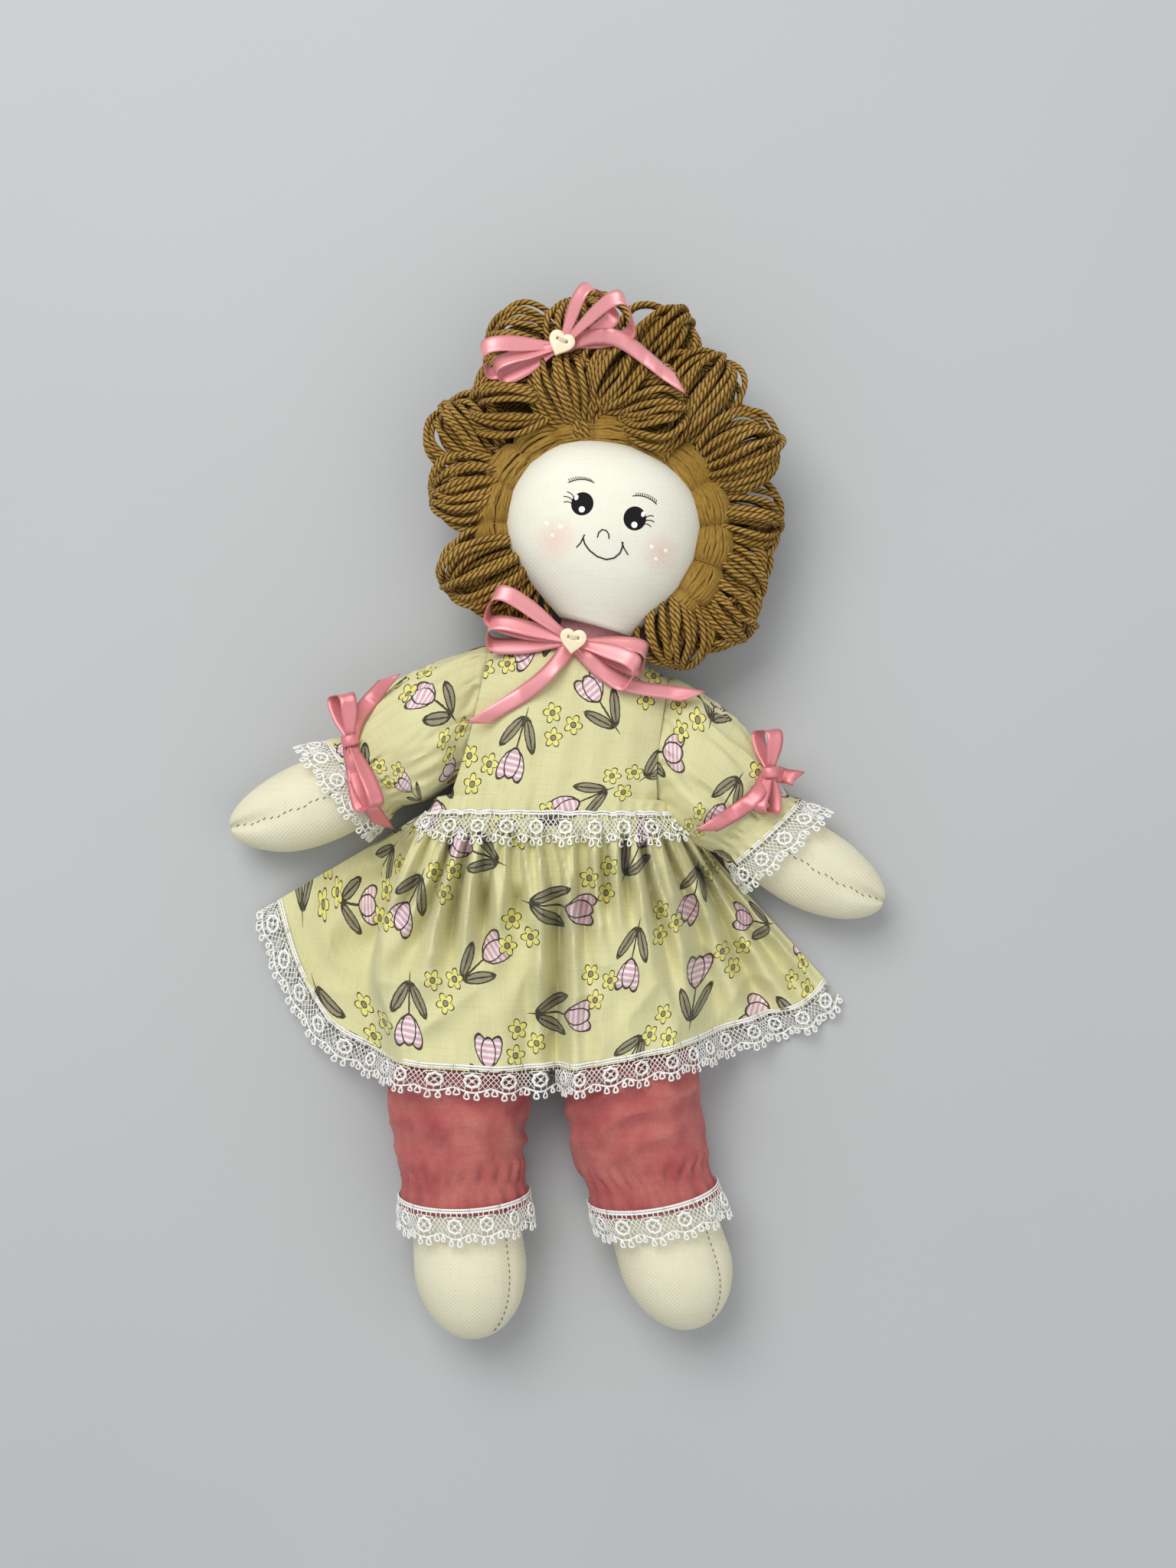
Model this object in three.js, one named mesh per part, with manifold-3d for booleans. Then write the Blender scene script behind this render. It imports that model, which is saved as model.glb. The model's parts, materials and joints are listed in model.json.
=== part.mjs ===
// A rag doll lying on its back: stuffed cotton body, yarn hair, and a frilled dress over bloomers.
// Millimetres. +Z is the doll's front, its head points to +Y and its left hand to +X. Z = 0 is the
// surface that it lies on, and the origin is the middle of its back.
import * as THREE from "three";
import { mergeVertices } from "three/addons/utils/BufferGeometryUtils.js";
import Module from "manifold-3d";

const wasm = await Module();
wasm.setup();

// Driving dimensions
const clearance = 0.3;
const cloth = 1.2;
const midHeight = 24;
const trunkLean = 10;
const waistRise = 4;

// Trunk
const bustRise = 84;
const restRise = 30;
const seatDrop = 46;
const torsoHalfWidth = 42.7;
const torsoHalfDepth = 21.4;
const pelvisHalfDepth = 20.7;
const torsoPower = 2.4;
const backGap = 4.1;

// Neck and head
const neckRadius = 14.5;
const neckOffset = 3.7;
const neckHeight = 28;
const collarWidth = 6;
const collarDrop = 2;
const collarThickness = 1.8;
const headLean = 16;
const headOffset = 3.3;
const headRise = 42;
const headHalfWidth = 41;
const headHalfHeight = 37;
const headHalfDepth = 31;
const headMidHeight = 39;
const neckShift = 7;

// Hair
const rollRadius = 6.4;
const rollFromDegrees = -30;
const rollToDegrees = 208;
const capOverhang = 8;
const bunchLength = 40;
const bunchHalfWidth = 16.5;
const bunchHalfDepth = 15;

// Arms
const shoulderReach = 50;
const shoulderRise = 40;
const jointRadius = 7.6;
const armRadius = 17;
const armTopRadius = 13.6;
const armHalfDepth = 16.3;
const armLength = 107;
const armLean = { left: 43, right: -52 };
const armBendFrom = 35;
const armBend = 19;
const handLength = 40;
const handHeight = 17.2;

// Legs
const hipReach = 33;
const hipDrop = 52;
const legTopRadius = 8;
const legHalfWidth = 24;
const footHalfDepth = 22;
const thighCentre = 30;
const legLean = { left: 9.5, right: 1.8 };
const legLength = { left: 166, right: 177 };
const toeLength = 24;

// Bodice and sleeves
const bodiceHalfDepth = 24;
const waistHalfWidth = 54;
const chestHalfWidth = 46;
const shoulderPoint = [38.5, 68];
const underarmPoint = [50, 8];
const neckOpening = 16;
const neckDip = 4;
const placketLap = 6;
const cuffPlace = 45;
const cuffHeight = 20;
const sleevePuff = 6;
const sleeveHalfDepth = 22.6;
const sleeveFolds = 9;
const sleeveFoldDepth = 1;
const elasticWidth = 5;
const elasticThickness = 0.9;

// Skirt
const hemDrop = 102;
const hemReach = 119;
const skirtHeight = 51.6;
const skirtSpread = 80;
const skirtFolds = 9;
const skirtFoldDepth = 3;
const centreFoldDepth = 10;
const centreFoldWidth = 9;
const hemHeight = 4;
const backFoldDepth = 0.9;

// Bloomers
const bloomersFullness = 5;
const bloomersLift = 0.5;
const bloomersStart = 14;
const bloomersLength = { left: 98, right: 107 };
const bloomersFrill = 9;
const bloomersFolds = 10;
const bloomersFoldDepth = 0.8;

// Lace, ribbons and buttons
const laceWidth = 15;
const laceThickness = 0.9;
const laceRepeat = 13;
const scallopDepth = 2.2;
const ribbonWidth = 7;
const ribbonThickness = 0.6;
const loopHeight = 1.9;
const bowReach = 40;
const bowPoints = { neck: [9.6, 79.7], head: [2.3, 206], left: [92, 24.7], right: [-84.2, 38] };
const ribbonSag = 6;
const buttonWidth = 11;
const buttonThickness = 2.4;
const buttonHoleRadius = 0.9;

const colours = {
  cotton: [0xdddaca, 0.9],
  dress: [0xd8d2a0, 0.9],
  bloomers: [0xb8596a, 0.92],
  yarn: [0x9a7440, 0.95],
  felt: [0xc98791, 0.95],
  lace: [0xf4f2e8, 0.9],
  satin: [0xea8f99, 0.45],
  coralSatin: [0xc95f70, 0.45],
  button: [0xf0e2c0, 0.4],
  elastic: [0xe9e6dc, 0.9],
};

// General helpers
const turn = 2 * Math.PI;
const radians = THREE.MathUtils.degToRad;
const V = (x, y, z) => new THREE.Vector3(x, y, z);
const steps = (count) => Array.from({ length: count + 1 }, (_, i) => i / count);
const mix = (a, b, t) => a + (b - a) * t;
const smooth = (t) => THREE.MathUtils.smoothstep(t, 0, 1);

// The value at t of a table of [place, value] pairs, in a straight line between its entries.
function follow(table, t) {
  const next = table.findIndex(([place]) => place >= t);
  if (next <= 0) return next === 0 ? table[0][1] : table[table.length - 1][1];
  const [t0, v0] = table[next - 1];
  const [t1, v1] = table[next];
  return mix(v0, v1, (t - t0) / (t1 - t0));
}

// Builds a solid from rings with as many points each, closed by fans or by joining last to first.
function loft(rings, { joined = false, flatEnds = false } = {}) {
  const n = rings[0].length;
  const points = rings.flat();
  const faces = [];
  const last = joined ? rings.length : rings.length - 1;
  for (let i = 0; i < last; i++) {
    for (let j = 0; j < n; j++) {
      const a = i * n + j;
      const b = i * n + ((j + 1) % n);
      const c = ((i + 1) % rings.length) * n + ((j + 1) % n);
      const d = ((i + 1) % rings.length) * n + j;
      faces.push([a, b, c], [a, c, d]);
    }
  }
  if (!joined) {
    for (const [ring, flip] of [[0, true], [rings.length - 1, false]]) {
      const at = (j) => ring * n + (j % n);
      const cap = [];
      if (flatEnds) {
        for (let j = 0; j < n / 2 - 1; j++) {
          cap.push([at(j), at(j + 1), at(n - 2 - j)], [at(j), at(n - 2 - j), at(n - 1 - j)]);
        }
      } else {
        const middle = rings[ring].reduce((sum, p) => sum.add(p), V(0, 0, 0)).divideScalar(n);
        points.push(middle);
        for (let j = 0; j < n; j++) cap.push([at(j), at(j + 1), points.length - 1]);
      }
      for (const [a, b, c] of cap) faces.push(flip ? [b, a, c] : [a, b, c]);
    }
  }
  return closed(points, faces);
}

// A geometry of the points and triangles given, with its faces turned outward.
function closed(points, faces) {
  let volume = 0;
  for (const [a, b, c] of faces) volume += points[a].dot(V(0, 0, 0).crossVectors(points[b], points[c]));
  const geometry = new THREE.BufferGeometry();
  geometry.setAttribute(
    "position",
    new THREE.Float32BufferAttribute(points.flatMap((p) => [p.x, p.y, p.z]), 3),
  );
  geometry.setIndex(faces.flatMap(([a, b, c]) => (volume < 0 ? [b, a, c] : [a, b, c])));
  return geometry;
}

// Normals of a grid of points, rows by columns; round grids join their last column to the first.
function gridNormals(grid, round) {
  const rows = grid.length;
  const cols = grid[0].length;
  return grid.map((row, i) =>
    row.map((_, j) => {
      const up = grid[Math.max(i - 1, 0)][j];
      const down = grid[Math.min(i + 1, rows - 1)][j];
      const left = row[round ? (j + cols - 1) % cols : Math.max(j - 1, 0)];
      const right = row[round ? (j + 1) % cols : Math.min(j + 1, cols - 1)];
      return V(0, 0, 0).crossVectors(down.clone().sub(up), right.clone().sub(left)).normalize();
    }),
  );
}

// A sheet of cloth over a grid of points, thickened to the side where towards points.
function sheet(grid, thickness, towards) {
  const normals = gridNormals(grid, false);
  const rings = grid.map((row, i) => {
    const under = row.map((p, j) => {
      const n = normals[i][j];
      return p.clone().addScaledVector(n, n.dot(towards) < 0 ? -thickness : thickness);
    });
    return [...row, ...under.reverse()];
  });
  return loft(rings, { flatEnds: true });
}

// The points of a grid moved along its normals, to the side where towards points.
function lifted(grid, distance, towards) {
  const normals = gridNormals(grid, false);
  return grid.map((row, i) =>
    row.map((p, j) => {
      const n = normals[i][j];
      return p.clone().addScaledVector(n, n.dot(towards) < 0 ? -distance : distance);
    }),
  );
}

// A tube of cloth over round rings of points, its wall inside them.
function tube(grid, thickness) {
  const normals = gridNormals(grid, true);
  const inner = grid.map((row, i) => {
    const middle = row.reduce((sum, p) => sum.add(p), V(0, 0, 0)).divideScalar(row.length);
    return row.map((p, j) => {
      const n = normals[i][j];
      const inward = n.dot(middle.clone().sub(p)) < 0 ? -thickness : thickness;
      return p.clone().addScaledVector(n, inward);
    });
  });
  return loft([...grid, ...inner.reverse()], { joined: true });
}

// A ring of points round a centre, in the plane of two directions, as a superellipse.
function ring(centre, across, along, halfWidth, halfDepth, count, power = 2, ripple = () => 0) {
  return steps(count).slice(0, count).map((share) => {
    const angle = share * turn;
    const c = Math.cos(angle);
    const s = Math.sin(angle);
    const u = Math.sign(c) * Math.abs(c) ** (2 / power);
    const v = Math.sign(s) * Math.abs(s) ** (2 / power);
    const grow = ripple(angle);
    return centre
      .clone()
      .addScaledVector(across, u * (halfWidth + grow))
      .addScaledVector(along, v * (halfDepth + grow));
  });
}

const X = V(1, 0, 0);
const Y = V(0, 1, 0);
const Z = V(0, 0, 1);

// An ellipsoid, or a sphere where one radius is given.
function ball(centre, rx, ry = rx, rz = rx, around = 12, up = 7) {
  const geometry = new THREE.SphereGeometry(1, around, up);
  return geometry.scale(rx, ry, rz).translate(centre.x, centre.y, centre.z);
}

// Solids for joining and cutting
function solid(geometry) {
  const bare = geometry.clone();
  bare.deleteAttribute("normal");
  bare.deleteAttribute("uv");
  const merged = mergeVertices(bare, 1e-4);
  return new wasm.Manifold(
    new wasm.Mesh({
      numProp: 3,
      vertProperties: new Float32Array(merged.attributes.position.array),
      triVerts: new Uint32Array(merged.index.array),
    }),
  );
}

function unsolid(manifold) {
  const biggest = manifold.decompose().reduce((a, b) => (a.volume() > b.volume() ? a : b));
  const mesh = biggest.getMesh();
  const geometry = new THREE.BufferGeometry();
  geometry.setAttribute("position", new THREE.BufferAttribute(new Float32Array(mesh.vertProperties), 3));
  geometry.setIndex(new THREE.BufferAttribute(new Uint32Array(mesh.triVerts), 1));
  return geometry;
}

const cut = (body, ...tools) =>
  unsolid(tools.reduce((made, tool) => made.subtract(solid(tool)), solid(body)));

// Frames: the doll lies in the world turned as photographed, and the trunk leans in it.
const trunkTurn = radians(trunkLean);
const fromTrunk = (a, b, z) =>
  V(
    a * Math.cos(trunkTurn) + b * Math.sin(trunkTurn),
    waistRise - a * Math.sin(trunkTurn) + b * Math.cos(trunkTurn),
    z,
  );
const sides = { left: 1, right: -1 };
const doll = new THREE.Group();
const rest = fromTrunk(0, restRise, 0);
doll.position.set(-rest.x, -rest.y, 0);
const trunk = new THREE.Group();
trunk.position.set(0, waistRise, 0);
trunk.rotation.z = -trunkTurn;
doll.add(trunk);

function put(group, name, geometry, [colour, roughness]) {
  const material = new THREE.MeshStandardMaterial({ color: colour, roughness, metalness: 0 });
  const mesh = new THREE.Mesh(geometry, material);
  mesh.name = name;
  group.add(mesh);
}

// Neck, a soft ball in a hollow of the torso and of the head
const neckPlace = V(neckOffset, bustRise, neckHeight);
const neckInDoll = fromTrunk(neckPlace.x, neckPlace.y, neckPlace.z);
const neckBall = (radius) => ball(neckPlace, radius, radius, radius, 16, 8);
const neckHollow = neckBall(neckRadius + 2 * clearance);
put(trunk, "neck", neckBall(neckRadius), colours.cotton);

// Torso: a stuffed bag that thins to a wedge at the seat and lies flat along its back
const torsoWidthShares = [
  [0, 0.86], [0.15, 0.95], [0.37, 0.98], [0.66, 1], [0.74, 0.97], [0.86, 0.7], [1, 0.3],
];
const torsoDepthShares = [
  [0, 0.14], [0.05, 0.42], [0.1, 0.66], [0.15, 0.86], [0.22, 1], [0.72, 0.97], [0.87, 0.64], [1, 0.3],
];
const torsoRowShares = [0, 0.05, 0.1, 0.15, 0.22, 0.3, 0.4, 0.5, 0.6, 0.66, 0.74, 0.8, 0.86, 0.93, 1];
const torsoSpan = seatDrop + bustRise - collarDrop - collarWidth - clearance;
const waistShare = seatDrop / torsoSpan;
const hipPlaces = Object.fromEntries(
  Object.entries(sides).map(([side, sign]) => [side, V(sign * hipReach, -hipDrop, midHeight)]),
);
function torsoRing(t, grow) {
  const depth = mix(pelvisHalfDepth, torsoHalfDepth, smooth((t - waistShare) / waistShare));
  const points = ring(
    V(0, -seatDrop + t * torsoSpan, midHeight),
    X,
    Z,
    torsoHalfWidth * follow(torsoWidthShares, t) + grow,
    depth * follow(torsoDepthShares, t) + grow,
    20,
    torsoPower,
  );
  for (const p of points) p.z = Math.max(p.z, backGap - Math.min(grow, cloth));
  return points;
}
const legTopHollows = Object.values(hipPlaces).map((place) => ball(place, legTopRadius + clearance));
// Collar: a felt band round the foot of the neck
function collarShell(grow) {
  const centre = (b) => V(neckPlace.x, neckPlace.y - collarDrop - collarWidth + b, neckPlace.z);
  const radius = neckRadius + clearance + collarThickness + grow;
  return [0, collarWidth].map((b) => ring(centre(b), X, Z, radius, radius, 24));
}
put(trunk, "collar_band", cut(tube(collarShell(0), collarThickness), neckHollow), colours.felt);
const collarHole = loft([0, 4 * collarWidth].map((b) =>
  ring(
    V(neckPlace.x, neckPlace.y - 2 * collarWidth + b, neckPlace.z),
    X,
    Z,
    neckRadius + 2 * clearance + collarThickness,
    neckRadius + 2 * clearance + collarThickness,
    24,
  ),
));

// Bodice: a front and two back panels, seamed at the shoulders and lapped along the middle of the back
const armholeShares = [[0, 0], [0.05, 0.35], [0.2, 0.62], [0.45, 0.87], [0.7, 0.98], [1, 1]];
const panelEdge = (v) =>
  v * shoulderPoint[1] < underarmPoint[1]
    ? mix(waistHalfWidth, underarmPoint[0], (v * shoulderPoint[1]) / underarmPoint[1])
    : mix(underarmPoint[0], shoulderPoint[0], follow(armholeShares, v));
const openingDepth = 6;
const shoulderSlope = (bustRise + neckDip - cloth - shoulderPoint[1]) / shoulderPoint[0];
const shoulderLine = (a) => shoulderPoint[1] + (shoulderPoint[0] - Math.abs(a)) * shoulderSlope;
function panelTop(a) {
  const dip = Math.abs(a) < neckOpening ? neckDip * (1 - (a / neckOpening) ** 2) : 0;
  return shoulderLine(Math.max(Math.abs(a), neckOpening)) - dip;
}
// Share of the bodice's full depth at a point of it: nought at its seams.
function bodiceRise(a, b, v) {
  const open = openingDepth * Math.min(smooth((v - 0.04) / 0.18), smooth((1 - v) / 0.12)) + clearance;
  const side = (1 - Math.min(Math.abs(a) / (panelEdge(v) + open), 1) ** torsoPower) ** (1 / torsoPower);
  const t = THREE.MathUtils.clamp((shoulderLine(a) - b) / bodiceHalfDepth, 0, 1);
  return side * Math.sqrt(1 - (1 - t) ** 2);
}
function bodiceGrid(from, to, height, columns, rows, grow = 0) {
  return steps(rows).map((v) =>
    steps(columns).map((u) => {
      const edge = panelEdge(v) + grow;
      const start = from === null ? -edge : from;
      const end = to === null ? edge : to;
      const across = from === null || to === null ? (1 - Math.cos(u * Math.PI)) / 2 : u;
      const a = mix(start, end, across);
      const b = v * panelTop(a);
      return V(a, b, height(a, b, v));
    }),
  );
}
const bodiceFolds = 8;
const bodiceFoldDepth = 0.8;
const bodiceFold = (a) => bodiceFoldDepth * (1 + Math.cos((turn * bodiceFolds * a) / (2 * waistHalfWidth)));
const frontHeight = (a, b, v) =>
  midHeight +
  clearance / 2 +
  cloth +
  (bodiceHalfDepth - cloth - clearance + (1 - v) * bodiceFold(a)) * bodiceRise(a, b, v);
const backHeight = (a, b, v) =>
  Math.max(midHeight - clearance / 2 - cloth - (bodiceHalfDepth + cloth) * bodiceRise(a, b, v), 0);
const underLap = (a, b, v) => {
  const raised = (cloth + 3 * clearance) * smooth((a + placketLap + 4 * cloth) / (2 * cloth));
  return backHeight(a, b, v) + raised;
};
const bodicePanels = {
  bodice_front: [bodiceGrid(null, null, frontHeight, 20, 8), V(0, 0, -1)],
  bodice_back_left: [bodiceGrid(-placketLap, null, backHeight, 10, 8), Z],
  bodice_back_right: [bodiceGrid(null, placketLap, underLap, 12, 8), Z],
};
for (const [name, [grid, inward]] of Object.entries(bodicePanels)) {
  put(trunk, name, cut(sheet(grid, cloth, inward), collarHole), colours.dress);
}
const torso = cut(
  loft(torsoRowShares.map((t) => torsoRing(t, 0))),
  neckHollow,
  ...legTopHollows,
);
put(trunk, "torso", torso, colours.cotton);

// The space that the bodice takes with its clearance, in the doll's frame
trunk.updateMatrix();
const bodiceSpaces = [
  [bodiceGrid(null, null, frontHeight, 20, 8, 2 * clearance), V(0, 0, -1)],
  [bodiceGrid(null, null, backHeight, 20, 8, 2 * clearance), Z],
].map(([grid, inward]) =>
  sheet(lifted(grid, -5 * clearance, inward), cloth + 10 * clearance, inward).applyMatrix4(trunk.matrix),
);

// Arms: each hangs from a gathered top that works as a soft ball joint at the shoulder
const shoulderPlaces = {};
const armGroups = {};
const armWidthShares = [[0, 0.8], [0.13, 0.8], [0.42, 1], [0.63, 1.08], [1, 1.08]];
const armRowShares = [0.01, 0.04, 0.13, 0.27, 0.42, 0.55, 0.63, 0.72, 0.8, 0.87, 0.93, 0.97, 0.99];
const armSide = (s) => armBend * Math.max((s - armBendFrom) / (armLength - armBendFrom), 0) ** 2;
const armHeight = (s) => mix(midHeight, handHeight, smooth(s / (armLength * 0.7)));
// Share of its full width that a rounded end leaves at a distance from the tip.
const rounded = (distance, length, power) =>
  distance >= length ? 1 : Math.max(1 - (1 - distance / length) ** power, 0.0001) ** (1 / 2);
function armRing(s, sign, grow) {
  const near = rounded(s, armTopRadius, 2);
  const far = rounded(armLength - s, handLength, 2.1);
  const slope = (armSide(s + clearance) - armSide(s - clearance)) / (2 * clearance);
  const across = V(1, sign * slope, 0).normalize();
  const width = armRadius * follow(armWidthShares, s / armLength) * near * far + grow;
  const depth = Math.min(armHalfDepth, armRadius * follow(armWidthShares, s / armLength)) * near * far + grow;
  return ring(V(sign * armSide(s), -s, armHeight(s)), across, Z, width, depth, 16);
}
const cuffRings = {};
for (const [side, sign] of Object.entries(sides)) {
  const place = fromTrunk(sign * shoulderReach, shoulderRise, 0);
  const group = new THREE.Group();
  group.position.copy(place);
  group.rotation.z = radians(armLean[side]);
  doll.add(group);
  armGroups[side] = group;
  shoulderPlaces[side] = place;
  put(group, "arm_top_" + side, ball(V(0, 0, midHeight), jointRadius), colours.cotton);
  const arm = loft(armRowShares.map((share) => armRing(share * armLength, sign, 0)));
  put(group, "arm_" + side, cut(arm, ball(V(0, 0, midHeight), jointRadius + 2 * clearance)), colours.cotton);
  const elastic = [-elasticWidth / 2, elasticWidth / 2].map((s) =>
    armRing(cuffPlace + s, sign, clearance + elasticThickness),
  );
  put(group, "sleeve_elastic_" + side, tube(elastic, elasticThickness - clearance / 4), colours.elastic);
}

// What a gathered cuff takes outside the limb: the elastic, the cloth and their clearances
const cuffWall = clearance + elasticThickness + 2 * clearance + cloth;

// Legs: stuffed tubes with a rounded top and toe, each on a gathered top at the hip
const legWidthShares = [[0, 1], [0.6, 0.98], [0.75, 0.98], [0.85, 1.02], [1, 1.02]];
const legDepthShares = [[0, 0.9], [0.55, 0.88], [0.74, 0.9], [0.86, 1], [1, 1]];
const legRowShares = [0.046, 0.065, 0.1, 0.14, 0.19, 0.35, 0.55, 0.74, 0.8, 0.86, 0.91, 0.95, 0.98, 0.997];
const legNose = legTopRadius - 2 * clearance;
function legSize(side, s) {
  const near = rounded(Math.max(s - legNose, 0), thighCentre - legNose, 2);
  const far = rounded(legLength[side] - s, toeLength, 2.3);
  const share = s / legLength[side];
  return [
    legHalfWidth * follow(legWidthShares, share) * near * far,
    footHalfDepth * follow(legDepthShares, share) * near * far,
  ];
}
const legHeight = (side, s) =>
  mix(midHeight, footHalfDepth + clearance, smooth((s / legLength[side] - 0.3) / 0.3));
function legRing(side, s, wide, deep, count = 16, ripple) {
  const [width, depth] = legSize(side, s);
  return ring(V(0, -s, legHeight(side, s)), X, Z, width + wide, depth + deep, count, 2, ripple);
}
// Share along a band of lace by which its scalloped edge draws in.
const scallop = (angle, count) => Math.abs(Math.sin((count * angle) / 2));
const legGroups = {};
for (const [side, hip] of Object.entries(hipPlaces)) {
  const group = new THREE.Group();
  const place = fromTrunk(hip.x, hip.y, 0);
  group.position.copy(place);
  group.rotation.z = radians(legLean[side]);
  doll.add(group);
  legGroups[side] = group;
  put(group, "leg_top_" + side, ball(V(0, 0, midHeight), legTopRadius), colours.cotton);
  const leg = loft(legRowShares.map((share) => legRing(side, share * legLength[side], 0, 0)));
  put(group, "leg_" + side, cut(leg, ball(V(0, 0, midHeight), legTopRadius + clearance)), colours.cotton);

  const gather = bloomersLength[side];
  const wrap = clearance + cloth;
  const rows = [0, 0.06, 0.14, 0.3, 0.6, 0.85, 0.96].map((t) => {
    const s = mix(bloomersStart, gather - elasticWidth / 2, t);
    const arch = Math.sin(Math.PI * t) ** 0.5;
    const wall = mix(wrap, cuffWall, smooth((t - 0.8) / 0.2)) + cloth * Math.max(1 - t / 0.3, 0);
    const folds = (angle) => (bloomersFoldDepth * (1 + Math.cos(bloomersFolds * angle)) * t * arch) / 2;
    const points = legRing(side, s, wall + bloomersFullness * arch, wall + bloomersLift * arch, 16, folds);
    for (const p of points) p.z = Math.max(p.z, cloth + 2 * clearance);
    return points;
  });
  const frill = [0, elasticWidth, elasticWidth + bloomersFrill].map((s, i) => {
    const points = legRing(side, gather - elasticWidth / 2 + s, cuffWall + (i === 2 ? cloth : 0), cuffWall);
    for (const p of points) p.z = Math.max(p.z, clearance / 2);
    return points;
  });
  put(group, "bloomers_leg_" + side, tube([...rows, ...frill], cloth), colours.bloomers);
  const elastic = [-elasticWidth / 2, elasticWidth / 2].map((s) =>
    legRing(side, gather + s, clearance + elasticThickness, clearance + elasticThickness),
  );
  put(group, "bloomers_elastic_" + side, tube(elastic, elasticThickness - clearance / 4), colours.elastic);

  const laceStart = gather + elasticWidth / 2 + bloomersFrill + clearance;
  const count = Math.round((turn * legHalfWidth) / laceRepeat);
  const lace = [0, 1].map((t) => {
    const flare = cuffWall + t * clearance;
    const points = legRing(side, laceStart + t * laceWidth, flare, cloth, 3 * count);
    const edge = (j) => t * scallopDepth * scallop((j * turn) / points.length, count);
    points.forEach((p, j) => (p.y += edge(j)));
    return points;
  });
  put(group, "bloomers_lace_" + side, tube(lace, laceThickness), colours.lace);
}
const seatRowShares = [0.02, 0.06, 0.12, 0.2, 0.3, waistShare - 0.02];
const seat = tube(seatRowShares.map((t) => torsoRing(t, 2 * cloth)), cloth);
const seatSpace = loft(torsoRowShares.slice(0, 7).map((t) => torsoRing(t, clearance)));
put(trunk, "bloomers_seat", cut(seat, seatSpace, ...legTopHollows), colours.bloomers);

// Skirt: a gathered front and back, draped over the legs and spread on the surface
const hemShares = [
  [-1, -1, -0.35],
  [-0.87, -0.95, -0.7],
  [-0.72, -0.78, -0.92],
  [-0.52, -0.54, -1],
  [0, -0.01, -1.02],
  [0.52, 0.52, -0.96],
  [0.72, 0.78, -0.87],
  [0.87, 0.97, -0.74],
  [1, 1, -0.64],
];
const hemAt = (u) =>
  V(
    hemReach * follow(hemShares.map(([at, x]) => [at, x]), u),
    hemDrop * follow(hemShares.map(([at, , y]) => [at, y]), u),
    0,
  );
const drapeShares = [
  [0, 1],
  [0.15, 0.99],
  [0.25, 0.93],
  [0.35, 0.8],
  [0.42, 0.62],
  [0.5, 0.4],
  [0.6, 0.22],
  [0.75, 0.1],
  [1, 0],
];
// The side of each leg's axis that a point lies on, and how far off it is.
function legOffset(side, x, y) {
  const hip = legGroups[side].position;
  const axis = hip.x + (hip.y - y) * Math.tan(radians(legLean[side]));
  return sides[side] * (x - axis);
}
function drape(x, y) {
  const off = Math.max(legOffset("left", x, y), legOffset("right", x, y), 0);
  const fall = hemHeight + (skirtHeight - hemHeight) * follow(drapeShares, Math.min(off / skirtSpread, 1));
  const middle = (legOffset("right", x, y) - legOffset("left", x, y)) / 2;
  const below = smooth((legGroups.left.position.y - y) / thighCentre);
  return fall - centreFoldDepth * below * Math.exp(-((middle / centreFoldWidth) ** 2));
}
// Height that clears the seat, at a point given across and up the trunk
function seatCover(x, y) {
  const p = V(x, y - waistRise, 0).applyAxisAngle(Z, trunkTurn);
  const width = torsoHalfWidth + 4 * cloth;
  const depth = (pelvisHalfDepth + 4 * cloth) * smooth((p.y + seatDrop + 2 * cloth) / (seatDrop / 2));
  return midHeight + depth * (1 - Math.min(Math.abs(p.x) / width, 1) ** torsoPower) ** (1 / torsoPower);
}
const waistAngle = (u) => (u * Math.PI) / 2;
const lame = (value) => Math.sign(value) * Math.abs(value) ** (2 / torsoPower);
function skirtPoint(u, v, front) {
  const out = clearance / 2 + cloth;
  const rise = (bodiceHalfDepth - out) * lame(Math.abs(Math.cos(waistAngle(u))));
  const waist = fromTrunk(waistHalfWidth * lame(Math.sin(waistAngle(u))), -3 * clearance, 0);
  const hem = hemAt(u);
  const p = waist.clone().lerp(hem, v);
  const wave = (1 + Math.cos(Math.PI * skirtFolds * u)) / 2;
  if (front) {
    const start = midHeight + out + rise;
    const full = drape(p.x, p.y);
    const floor = Math.abs(u) > 0.98 ? 0 : 1;
    const fold = (skirtFoldDepth * v + bodiceFoldDepth * Math.sin(Math.PI * v)) * wave * floor;
    const cover = Math.abs(u) < 0.98 ? seatCover(p.x, p.y) : 0;
    p.z = Math.max(mix(start, full, smooth(v / 0.3)), cover) + fold;
  } else {
    const start = midHeight - out - rise;
    const fold = backFoldDepth * v * wave * smooth((Math.abs(u) - 0.7) / 0.1);
    p.z = Math.max(start * (1 - smooth(v / 0.5)) + fold, 0);
    if (start > clearance && v < 0.5) p.z = Math.max(p.z, start * (1 - smooth(v / 0.5)));
  }
  return p;
}
const across = (columns) => steps(columns).map((t) => 2 * t - 1);
const frontGrid = steps(8).map((v) => across(36).map((u) => skirtPoint(u, v, true)));
const backGrid = steps(5).map((v) => across(24).map((u) => skirtPoint(u, v, false)));
put(doll, "skirt_front", sheet(frontGrid, cloth, V(0, 0, -1)), colours.dress);
put(doll, "skirt_back", sheet(backGrid, cloth, Z), colours.dress);

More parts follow.
